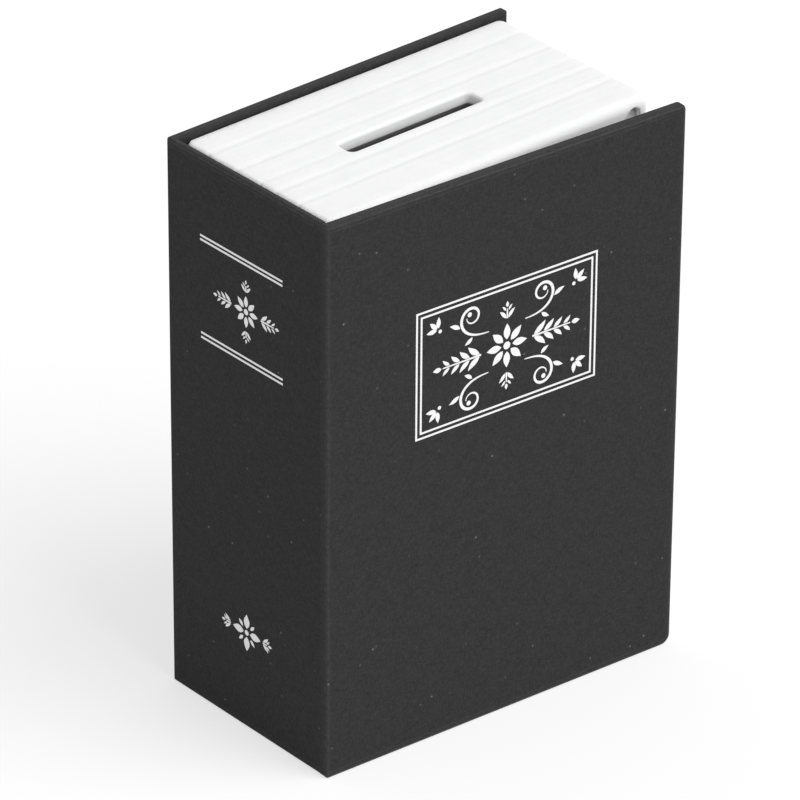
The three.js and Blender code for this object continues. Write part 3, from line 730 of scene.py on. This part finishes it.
def tendril(start, angle, length, turn, width):
    """A tapered line that curls into a scroll round a dot."""
    points, widths = [start.copy()], [width * TENDRIL_END_SHARE]
    heading = angle
    for i in range(1, TENDRIL_STEPS + 1):
        share = i / TENDRIL_STEPS
        heading = angle + turn * share ** 2
        points.append(points[-1] + toward(heading, length / TENDRIL_STEPS))
        widths.append(width * lerp(TENDRIL_END_SHARE, 1, math.sin(math.pi * share)))
    inwards = heading + math.copysign(math.pi / 2, turn) * SCROLL_DOT_ANGLE
    return [strip(points, widths),
            dot(points[-1] + toward(inwards, width * SCROLL_DOT_AWAY_SHARE), width * SCROLL_DOT_RADIUS_SHARE)]


def foil(name, place, body, lines, rings=(), matrix=None):
    """One mesh of thin closed solids. place turns plane coordinates and a rise into a point."""
    points, faces = [], []
    for rows, closed in [(rows, False) for rows in lines] + [(rows, True) for rows in rings]:
        first, count = len(points), len(rows[0])
        edges = [(rows[0], FOIL_RISE), (rows[1], FOIL_RISE), (rows[1], -FOIL_ROOT), (rows[0], -FOIL_ROOT)]
        for row, rise in edges:
            points += [place(point, rise) for point in row]
        for edge in range(4):
            a, b = first + edge * count, first + (edge + 1) % 4 * count
            for i in range(count if closed else count - 1):
                j = (i + 1) % count
                faces.append((a + i, a + j, b + j, b + i))
        if not closed:
            faces += [tuple(first + edge * count + end for edge in range(4)) for end in (0, count - 1)]
    piece = dress(make_object(name, points, faces, matrix), "white_foil")
    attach(piece, body)


def placed(shapes, centre, flip=Vector((1, 1))):
    """Shapes drawn about the origin, mirrored by flip and moved to centre."""
    return [[[centre + point * flip for point in row] for row in rows] for rows in shapes]


def front_ornament():
    """Leaf ornament that fills the frame on the front cover."""
    shapes = rosette(count=8, inner=1.25, length=3.3, width=1.5)
    shapes += sprays(SIDEWAYS, distance=5.8, length=8.6, leaf_length=3.4, pairs=4)
    shapes += sprays(UP_AND_DOWN, distance=5.6, length=2.0, leaf_length=2.2, pairs=2)
    corner = tendril(TENDRIL_START, angle=math.radians(2), length=18.5, turn=math.radians(440), width=0.6)
    corner += [leaf(*sizes) for sizes in TENDRIL_LEAVES]
    corner += [leaf(TREFOIL_START + toward(angle, LEAF_GAP), angle, length=2.3, width=0.95)
               for angle in TREFOIL_ANGLES]
    corner.append(dot(TREFOIL_DOT, radius=0.38))
    for flip in ((1, 1), (1, -1), (-1, 1), (-1, -1)):
        shapes += placed(corner, Vector((0, 0)), Vector(flip))
    return placed(shapes, FRONT_CENTRE)


def add_foil():
    frames = placed([rectangle_rows(half, FRAME_RULE) for half in FRAME_HALVES], FRONT_CENTRE)
    foil("front_foil", lambda p, rise: (p.x, -COVER_STACK - rise, p.y), "front_cover",
         front_ornament(), frames, COVER_FRAME)
    lines = [strip([Vector((end, height)) for end in SPINE_RULE_ENDS], [SPINE_RULE, SPINE_RULE])
             for height in SPINE_RULE_HEIGHTS]
    lines += placed(rosette(count=8, inner=0.95, length=2.3, width=1.1)
                    + sprays(SIDEWAYS, distance=4.1, length=3.6, leaf_length=2.1, pairs=3)
                    + sprays(UP_AND_DOWN, distance=4.0, length=1.3, leaf_length=1.6, pairs=2), SPINE_CENTRE)
    lines += placed(rosette(count=4, inner=0.9, length=3.0, width=1.6)
                    + petals(count=4, inner=1.5, length=1.6, width=0.7, turn=math.pi / 4)
                    + sprays(SIDEWAYS, distance=4.6, length=1.2, leaf_length=1.9, pairs=2), FOOT_CENTRE)
    foil("spine_foil", lambda p, rise: (BOOK.x - rise, BOOK.y + p.x, p.y), "case", lines)


# Page block: a hollow moulding whose outline follows the folded signatures of a book
BLOCK_WALL = 1.5
BLOCK_HEAD_WALL = 2.3
RIM_WIDTH = 4
RIM_THICKNESS = 1.5
BLOCK_UPRIGHT_RADIUS = 1.4
BLOCK_FRONT_RADIUS = 2.0
BLOCK_BACK_RADIUS = 0.4
BLOCK_CORNER_RADIUS = 1.0
ROOM_CORNER_RADIUS = 0.6
OPENING_CORNER_RADIUS = 2
OPENING_RIM = 0.5
SIGNATURE_SHARES = [0.228, 0.149, 0.1105, 0.1615, 0.1945, 0.1565]
NICK_DEPTH = 0.9
NICK_HALF_WIDTH = 0.9
GROOVE_DEPTH = 0.13
GROOVE_HALF_WIDTH = 1.3
# Page lines: how often they change through the block, from side to side and along it, for the broad
# waves and for the fine ones
BROAD_WAVES = Vector((0.8, 17.3, 0.012))
FINE_WAVES = Vector((3.1, 31.7, 0.02))
FINE_START = Vector((0, 5, 0))
FINE_SHARE = 0.25
PAGE_LINE_MEAN = 0.6
PAGE_LINE_DEPTH = 0.04
SIDE_KEYS = Vector((2, 3))
PAGE_STEP = 0.14
FIRST_PAGE = 1.35
LAST_PAGE = 0.6
FRONT_EDGE_DEPTHS = [0, 0.03, 0.1, 0.22, 0.4, 0.62, 0.9, 1.2]
BACK_EDGE_DEPTHS = [0.4, 0.22, 0.1, 0.03, 0]
HEAD_STEPS = 10
SIDE_STEPS = 14
RIM_STEPS = 5
SLOT_LENGTH = 31.5
SLOT_WIDTH = 4.2
SLOT_CORNER_RADIUS = 1.2
SLOT_SHIFT_TO_SPINE = 1.5
SLOT_RIM = 0.7
NOTCH_WIDTH = 3.0
NOTCH_DEPTH = 1.3
NOTCH_SIDE_WALL = 2.2
NOTCH_TOP_WALL = 1.65
NOTCH_FOOT = 1.2
NOTCH_RIM = 0.3
NOTCH_TURN = math.radians(135)
NOTCH_STEPS = 16
OVERRUN = 1
BLOCK_SMOOTH = 30


def signature_edges():
    """Depths from the block's front face at which one signature meets the next."""
    return [sum(SIGNATURE_SHARES[:i]) * BLOCK_THICKNESS for i in range(1, len(SIGNATURE_SHARES))]


def sunk_at(depth, edges):
    """How far the skin is drawn in at a joint between signatures: by a groove, and by a nick with the round
    sides of folded signatures where they meet the spine."""
    away = min(abs(depth - edge) for edge in edges)
    t = 1 - min(away / NICK_HALF_WIDTH, 1)
    groove = GROOVE_DEPTH * (1 + math.cos(math.pi * min(away / GROOVE_HALF_WIDTH, 1))) / 2
    return groove, NICK_DEPTH * (1 - math.sqrt(1 - t * t))


def rounding(depth, front_radius, back_radius):
    """Inset that rounds the block's front and back edges."""
    for distance, radius in ((depth, front_radius), (BLOCK_THICKNESS - depth, back_radius)):
        if distance < radius:
            return radius - math.sqrt(radius * radius - (radius - distance) ** 2)
    return 0.0


def page_line(depth, side, along):
    """Small rise and fall of the page edges, long along the block and short across it."""
    place = Vector((depth, side, along))
    fine = noise.noise(place * FINE_WAVES + FINE_START)
    return PAGE_LINE_DEPTH * (noise.noise(place * BROAD_WAVES) + FINE_SHARE * fine + PAGE_LINE_MEAN)


def block_outline(left, right, bottom, top):
    """Points round the block in X and Z with their outward directions, clockwise from the lower end of the
    spine side. Each has a share that tells how far it belongs to the spine side."""
    r = BLOCK_CORNER_RADIUS
    centres = [Vector(place) for place in ((left + r, bottom + r), (left + r, top - r),
                                           (right - r, top - r), (right - r, bottom + r))]
    places = []
    for turn, spine, next_spine in ((0, 1, 0), (1, 0, 0), (2, 0, 0), (3, 0, 1)):
        start, end = centres[turn], centres[(turn + 1) % 4]
        direction = toward(math.pi - math.pi / 2 * turn)
        steps = HEAD_STEPS if turn % 2 else SIDE_STEPS
        places += [(start.lerp(end, i / steps) + direction * r, direction, spine) for i in range(steps)]
        for step in range(ARC_STEPS):
            share = step / ARC_STEPS
            direction = toward(math.pi - math.pi / 2 * (turn + share))
            places.append((end + direction * r, direction, lerp(spine, next_spine, share)))
    return places


def block_depths():
    """Depths of the block's rings, close together where its front and back edges are rounded."""
    first, last = FIRST_PAGE, BLOCK_THICKNESS - LAST_PAGE
    steps = round((last - first) / PAGE_STEP)
    pages = [lerp(first, last, i / steps) for i in range(steps + 1)]
    return FRONT_EDGE_DEPTHS + pages + [BLOCK_THICKNESS - x for x in BACK_EDGE_DEPTHS]


def block_skin():
    low, high = block_low, block_high
    edges, depths = signature_edges(), block_depths()
    points = []
    for depth in depths:
        upright = rounding(depth, BLOCK_UPRIGHT_RADIUS, BLOCK_UPRIGHT_RADIUS)
        level = rounding(depth, BLOCK_FRONT_RADIUS, BLOCK_BACK_RADIUS)
        groove, nick = sunk_at(depth, edges)
        for place, direction, spine in block_outline(low.x + upright, high.x - upright, low.z + level,
                                                     high.z - level):
            along = place.x * abs(direction.y) + place.y * abs(direction.x)
            sunk = lerp(groove, nick, spine) + page_line(depth, direction.dot(SIDE_KEYS), along)
            point = place - direction * sunk
            points.append((point.x, low.y + depth, point.y))
    return make_object("page_block_fine", points, ring_faces(len(depths), len(points) // len(depths)))


def rimmed_cutter(name, outline, face, inward, end, rim, axes):
    """A cutter that starts outside a face, goes inward to end and rounds the rim that it leaves by rim.
    outline gives its points, moved outwards by an offset."""
    levels = [(outline(rim), face - inward * OVERRUN)]
    levels += [(outline(rim * (1 - s)), face + inward * rim * (1 - c)) for _, s, c in quarter_turn(RIM_STEPS)]
    return lofted(name, levels + [(outline(0), end)], axes)


def slot_cutter():
    """The coin slot."""
    cx = BOOK.x + COVER_WIDTH / 2 - SLOT_SHIFT_TO_SPINE
    cy = (block_low.y + block_high.y) / 2

    def outline(offset):
        a, b = SLOT_LENGTH / 2 + offset, SLOT_WIDTH / 2 + offset
        return rounded_outline(cx - a, cx + a, cy - b, cy + b, SLOT_CORNER_RADIUS + offset)

    end = block_high.z - BLOCK_HEAD_WALL - OVERRUN
    return rimmed_cutter("slot", outline, block_high.z, -1, end, SLOT_RIM, ALONG_Z)


def opening_cutter():
    """The opening in the rim, through which the lid shows."""
    low, high = block_low, block_high

    def outline(offset):
        inset = RIM_WIDTH - offset
        return rounded_outline(low.x + inset, high.x - inset, low.z + inset, high.z - inset,
                               OPENING_CORNER_RADIUS + offset)

    end = low.y + RIM_THICKNESS + OVERRUN
    return rimmed_cutter("opening", outline, low.y, 1, end, OPENING_RIM, ALONG_Y)


def notch_cutter():
    """The thumb notch in the front rim, near the head of the fore-edge: an arch with one upright side and
    one that slants away from it."""
    radius = NOTCH_WIDTH / 2
    middle = block_high.x - NOTCH_SIDE_WALL - radius
    centre = block_high.z - NOTCH_TOP_WALL - radius
    bottom = block_high.z - RIM_WIDTH - NOTCH_FOOT

    def outline(offset):
        r = radius + offset
        turns = [NOTCH_TURN * step / NOTCH_STEPS for step in range(NOTCH_STEPS + 1)]
        arch = [(middle + r * math.cos(a), centre + r * math.sin(a)) for a in turns]
        x, z = arch[-1]
        foot = x - (z - bottom) * math.tan(NOTCH_TURN - math.pi / 2)
        return [(middle + r, bottom)] + arch + [(foot, bottom)]

    front = block_low.y
    return rimmed_cutter("notch", outline, front, 1, front + NOTCH_DEPTH, NOTCH_RIM, ALONG_Y)


def add_page_block():
    block = block_skin()
    low, high, wall = block_low, block_high, BLOCK_WALL
    inside = rounded_outline(low.x + wall, high.x - wall, low.z + wall, high.z - BLOCK_HEAD_WALL,
                             ROOM_CORNER_RADIUS)
    room = lofted("room", [(inside, low.y + RIM_THICKNESS), (inside, high.y + OVERRUN)], ALONG_Y)
    cut(block, [room, opening_cutter(), slot_cutter(), notch_cutter()])
    modify(block, "WEIGHTED_NORMAL", keep_sharp=True)
    finish(block, BLOCK_SMOOTH, "page_white", "case", "page_block")


# Endpaper: runs to the joint, raised over the turn-ins and sunk onto the board between them
GLUE = 0.05
ENDPAPER_MARGIN = 2.6
ENDPAPER_START = 0.8
ENDPAPER_SLOPE = 0.7
SLOPE_STEPS = 5
ENDPAPER_SMOOTH = 30


def add_endpaper():
    sink = TURN_IN + GLUE
    right, top = COVER_WIDTH - sink, BOOK_HEIGHT - sink

    def slope(start):
        return [start + ENDPAPER_SLOPE * i / SLOPE_STEPS for i in range(SLOPE_STEPS + 1)]

    def eased(distance):
        share = min(max(distance / ENDPAPER_SLOPE, 0), 1)
        return share * share * (3 - 2 * share)

    xs = [ENDPAPER_START] + slope(right - ENDPAPER_SLOPE) + [COVER_WIDTH - ENDPAPER_MARGIN]
    zs = [ENDPAPER_MARGIN] + slope(sink) + slope(top - ENDPAPER_SLOPE) + [BOOK_HEIGHT - ENDPAPER_MARGIN]
    points = []
    for layer in (0, PAPER):
        for z in zs:
            for x in xs:
                raised = max(eased(x - right + ENDPAPER_SLOPE), eased(sink + ENDPAPER_SLOPE - z),
                             eased(z - top + ENDPAPER_SLOPE))
                points.append((x, lerp(-PAPER, GLUE, raised) + layer, z))
    size = len(xs) * len(zs)
    grid = [list(range(start, start + len(xs))) for start in range(0, size, len(xs))]
    faces = []
    for lower, upper in zip(grid, grid[1:]):
        for a, b, c, d in zip(lower, lower[1:], upper[1:], upper):
            faces += [(a, b, c, d), (d + size, c + size, b + size, a + size)]
    rim = grid[0] + [row[-1] for row in grid[1:]] + grid[-1][-2::-1] + [row[0] for row in grid[-2:0:-1]]
    faces += [(b, a, a + size, b + size) for a, b in zip(rim, rim[1:] + rim[:1])]
    sheet = make_object("front_endpaper_fine", points, faces, COVER_FRAME)
    finish(sheet, ENDPAPER_SMOOTH, "endpaper", "front_cover", "front_endpaper")


# Cam lock: turned and milled pieces, finer than the solids they stand for
TURN_STEPS = 96
LOCK_SMOOTH = 20
BARREL_RADIUS = 6
BARREL_FLAT = 5.2
BORE_RADIUS = 3.15
BORE_CHAMFER = 0.2
FLANGE_SEAT_RADIUS = 4.15
FLANGE_DEPTH = 1.15
# The head's profile behind the lock's face, out to its rim: radius, depth
HEAD_PROFILE = [(FLANGE_SEAT_RADIUS, 0.2), (4.25, 0.06), (4.45, 0), (4.85, 0), (4.95, 0.12), (5.15, 0.12),
                (5.25, 0), (5.5, 0), (6.2, 0.21), (7, 0.55), (7.7, 0.98), (8.15, 1.36), (8.4, 1.62)]
HEAD_RIM_DEPTH = 1.95
HEAD_HEIGHT = 3.85
EDGE_BREAK = 0.15
THREAD_START = 1
THREAD_PITCH = 1
THREAD_DEPTH = 0.5
THREAD_STEP = 0.1
BARREL_CHAMFER = 0.3
TRACK_DEPTH = 1.3
TRACK_ANGLES = (168, 282)
TRACK_STEPS = 16
TRACK_REACH = 10
PLUG_RADIUS = 3
PLUG_FLANGE_RADIUS = 4
PLUG_FLANGE_THICKNESS = 1
FLANGE_CHAMFER = 0.22
FLANGE_CHAMFER_STEP = 0.07
TAIL_SIDE = 3.6
TAIL_CHAMFER = (0.2, 0.3)
KEYWAY_DEPTH = 6
KEYWAY_FLARE = 0.3
KEYWAY_FLARE_DEPTH = 0.16
KEYWAY = [(-0.55, -2.3), (0.55, -2.3), (0.55, -1.1), (0.2, -0.75), (0.2, 0.05), (0.55, 0.4), (0.55, 2.3),
          (-0.55, 2.3), (-0.55, 1.35), (-0.25, 1.05), (-0.25, 0.45), (-0.55, 0.15)]
SCREW_HOLE_RADIUS = 1.35
SCREW_HOLE_DEPTH = 4.6
NUT_CHAMFER = 0.35
NUT_FACE_EDGE = 0.1
NUT_BORE_CHAMFER = 0.3
NUT_THREAD_OVERLAP = 0.05


def turned(name, profile, closed=False):
    """A solid about the lock's axis through places (radius, y). A radius may be a function of the angle."""
    points = []
    for radius, y in profile:
        for i in range(TURN_STEPS):
            angle = 2 * math.pi * i / TURN_STEPS
            r = radius(angle) if callable(radius) else radius
            points.append((LOCK_AXIS.x + r * math.cos(angle), y, LOCK_AXIS.y + r * math.sin(angle)))
    return make_object(name, points, ring_faces(len(profile), TURN_STEPS, closed))


def thread_radius(y, start, end):
    """The barrel's radius at y, as a function of the angle: a thread that fades at its ends, and two
    flats."""
    fade = min(max((y - start) / THREAD_PITCH, 0), max((end - y) / (THREAD_PITCH / 2), 0), 1)

    def radius(angle):
        turn = ((y - start) / THREAD_PITCH - angle / (2 * math.pi)) % 1
        groove = THREAD_DEPTH * fade * (1 - abs(2 * turn - 1))
        end_cut = max(BARREL_CHAMFER - (end - y), 0)
        return min(BARREL_RADIUS - max(groove, end_cut), BARREL_FLAT / max(abs(math.cos(angle)), TINY))
    return radius


def add_lock_body():
    face, end = lock_low.y, lock_high.y
    seat = face + HEAD_HEIGHT
    rim = (lock_high.x - lock_low.x) / 2
    profile = [(radius, face + depth) for radius, depth in HEAD_PROFILE]
    profile += [(rim, face + HEAD_RIM_DEPTH), (rim, seat - EDGE_BREAK), (rim - EDGE_BREAK, seat)]
    start = seat + THREAD_START
    steps = round((end - start) / THREAD_STEP)
    profile += [(thread_radius(max(y, start), start, end), y)
                for y in [seat] + [lerp(start, end, i / steps) for i in range(steps + 1)]]
    profile += [(BORE_RADIUS + BORE_CHAMFER, end), (BORE_RADIUS, end - BORE_CHAMFER),
                (BORE_RADIUS, face + FLANGE_DEPTH), (FLANGE_SEAT_RADIUS, face + FLANGE_DEPTH)]
    body = turned("lock_body_fine", profile, closed=True)
    turns = [math.radians(lerp(*TRACK_ANGLES, i / TRACK_STEPS)) for i in range(TRACK_STEPS + 1)]
    track = [LOCK_AXIS] + [LOCK_AXIS + toward(angle, TRACK_REACH) for angle in turns]
    cut(body, [lofted("track", [(track, end - TRACK_DEPTH), (track, end + OVERRUN)], ALONG_Y)])
    finish(body, LOCK_SMOOTH, "lock_chrome", "lid", "lock_body")


def add_lock_plug():
    face, end = plug_low.y, plug_high.y
    barrel_end = lock_high.y
    flange_end = face + PLUG_FLANGE_THICKNESS

    def square(side):
        return lambda angle: side / 2 / max(abs(math.cos(angle)), abs(math.sin(angle)))

    plug = turned("lock_plug_fine", [
        (PLUG_FLANGE_RADIUS - FLANGE_CHAMFER, face),
        (PLUG_FLANGE_RADIUS - FLANGE_CHAMFER_STEP, face + FLANGE_CHAMFER_STEP),
        (PLUG_FLANGE_RADIUS, face + FLANGE_CHAMFER), (PLUG_FLANGE_RADIUS, flange_end),
        (PLUG_RADIUS, flange_end), (PLUG_RADIUS, barrel_end - EDGE_BREAK),
        (PLUG_RADIUS - EDGE_BREAK, barrel_end), (square(TAIL_SIDE), barrel_end),
        (square(TAIL_SIDE), end - TAIL_CHAMFER[0]), (square(TAIL_SIDE - TAIL_CHAMFER[1]), end)])

    def keyway(flare):
        return [(LOCK_AXIS.x + a * (1 + flare), LOCK_AXIS.y + b * (1 + flare / 3)) for a, b in KEYWAY]

    wide, plain = keyway(KEYWAY_FLARE), keyway(0)
    key = lofted("keyway", [(wide, face - OVERRUN), (wide, face), (plain, face + KEYWAY_FLARE_DEPTH),
                            (plain, face + KEYWAY_DEPTH)], ALONG_Y)
    hole = turned("hole", [(SCREW_HOLE_RADIUS, end - SCREW_HOLE_DEPTH), (SCREW_HOLE_RADIUS, end + OVERRUN)])
    cut(plug, [key, hole])
    finish(plug, LOCK_SMOOTH, "lock_chrome", "lock_plug", "lock_plug")


def add_lock_nut():
    apothem = (nut_high.x - nut_low.x) / 2
    front, back = nut_low.y, nut_high.y
    bore = BARREL_RADIUS - NUT_THREAD_OVERLAP
    mouth = bore + NUT_BORE_CHAMFER

    def hexagon(angle):
        return apothem / math.cos((angle + math.pi / 6) % (math.pi / 3) - math.pi / 6)

    def chamfered(angle):
        return min(hexagon(angle), apothem + NUT_FACE_EDGE)

    nut = turned("lock_nut_fine", [
        (mouth, front), (chamfered, front), (hexagon, front + NUT_CHAMFER), (hexagon, back - NUT_CHAMFER),
        (chamfered, back), (mouth, back), (bore, back - NUT_BORE_CHAMFER), (bore, front + NUT_BORE_CHAMFER)],
        closed=True)
    finish(nut, LOCK_SMOOTH, "zinc_steel", "lid", "lock_nut")


# CAD nodes that keep their own shape: a finish, and edges that catch the light
SHEET_STEEL_EDGE = 0.12
SMALL_PIECE_EDGE = 0.08
FLAT_ANGLE = math.radians(1)
EDGE_ANGLE = math.radians(40)
EDGE_SEGMENTS = 2
WELD_M = 1e-6


def soften(name, width, material):
    """Rounds a node's edges a little when a width is given, and gives it its material."""
    obj = frame["nodes"][name]
    modify(obj, "WELD", merge_threshold=WELD_M)
    modify(obj, "DECIMATE", decimate_type="DISSOLVE", angle_limit=FLAT_ANGLE)
    if width:
        modify(obj, "BEVEL", width=width * MM, segments=EDGE_SEGMENTS, limit_method="ANGLE",
               angle_limit=EDGE_ANGLE, use_clamp_overlap=True)
    dress(obj, material)


def add_finishes():
    for name in ("front_board", "spine_board", "back_board"):
        soften(name, 0, "greyboard")
    soften("back_endpaper", 0, "endpaper")
    for name in ("steel_box", "lid", "hinge_leaf_box", "hinge_leaf_lid"):
        soften(name, SHEET_STEEL_EDGE, "powder_coat")
    for name in ("hinge_pin", "lock_cam", "cam_washer", "cam_screw"):
        soften(name, SMALL_PIECE_EDGE, "zinc_steel")


# Stage
FLOOR_HALF_M = 6
FLOOR_DROP_M = 0.0001
FLOOR_COLOUR = (0.9, 0.9, 0.9, 1)
SEEN_FLOOR_COLOUR = (0.42, 0.42, 0.42, 1)
SEEN_FLOOR_GLOW = 0.61
WHITE = (1, 1, 1, 1)
SKY_LEVEL = 0.52
LAMP_TOWARDS = Vector((0.17, -0.375, 0.48))
LAMP_SPREAD = math.radians(50)


def make_stage():
    """A pale floor that lights the book like paper, and shows itself nearly white with a soft shadow."""
    mesh = bpy.data.meshes.new("floor")
    mesh.from_pydata([(FLOOR_HALF_M * a, FLOOR_HALF_M * b, 0) for a, b in CORNERS], [], [(0, 1, 2, 3)])
    floor = add_to_scene("floor", mesh)
    floor.location.z = -FLOOR_DROP_M
    material = bpy.data.materials.new("pale_floor")
    material.use_nodes = True
    tree = material.node_tree
    tree.nodes.clear()
    plain = node("BsdfDiffuse", {"Color": FLOOR_COLOUR}, tree).outputs[0]
    faint = node("BsdfDiffuse", {"Color": SEEN_FLOOR_COLOUR}, tree).outputs[0]
    glow = node("Emission", {"Color": WHITE, "Strength": SEEN_FLOOR_GLOW}, tree).outputs[0]
    both = node("AddShader", {0: faint, 1: glow}).outputs[0]
    rays = node("LightPath", {}, tree).outputs
    seen = higher(rays["Is Camera Ray"], rays["Is Glossy Ray"])
    choose = node("MixShader", {0: seen, 1: plain, 2: both}).outputs[0]
    node("OutputMaterial", {"Surface": choose})
    mesh.materials.append(material)


def make_light():
    """A white sky that lights the book less than it shows, and one broad lamp."""
    world = bpy.data.worlds.new("studio")
    bpy.context.scene.world = world
    world.use_nodes = True
    tree = world.node_tree
    tree.nodes.clear()
    rays = node("LightPath", {}, tree).outputs
    seen = higher(rays["Is Camera Ray"], rays["Is Glossy Ray"])
    seen = higher(seen, rays["Is Transmission Ray"])
    strength = ranged(seen, 0.0, 1.0, to_low=SKY_LEVEL)
    sky = node("Background", {"Color": WHITE, "Strength": strength}).outputs[0]
    node("OutputWorld", {"Surface": sky})
    data = bpy.data.lights.new("key", "SUN")
    data.energy = LAMP_TOWARDS.length * math.pi
    data.angle = LAMP_SPREAD
    lamp = add_to_scene("key", data)
    lamp.rotation_mode = "QUATERNION"
    lamp.rotation_quaternion = LAMP_TOWARDS.to_track_quat("Z", "Y")


LOOKS = {
    "cover_paper": (cover_paper,),
    "white_foil": (white_foil,),
    "greyboard": (smooth_paper, 150, 0.8),
    "endpaper": (smooth_paper, 46, 1.3),
    "page_white": (page_white,),
    "powder_coat": (powder_coat,),
    "zinc_steel": (metal, 190, 0.32, (1, 1, 0.2), COOL_ZINC),
    "lock_chrome": (metal, 205, 0.2),
}
MATERIALS = {name: make_material(name, *look) for name, look in LOOKS.items()}

make_camera()
add_cover()
add_foil()
add_page_block()
add_endpaper()
add_lock_body()
add_lock_plug()
add_lock_nut()
add_finishes()
make_stage()
make_light()
bpy.context.scene.view_settings.view_transform = "Standard"
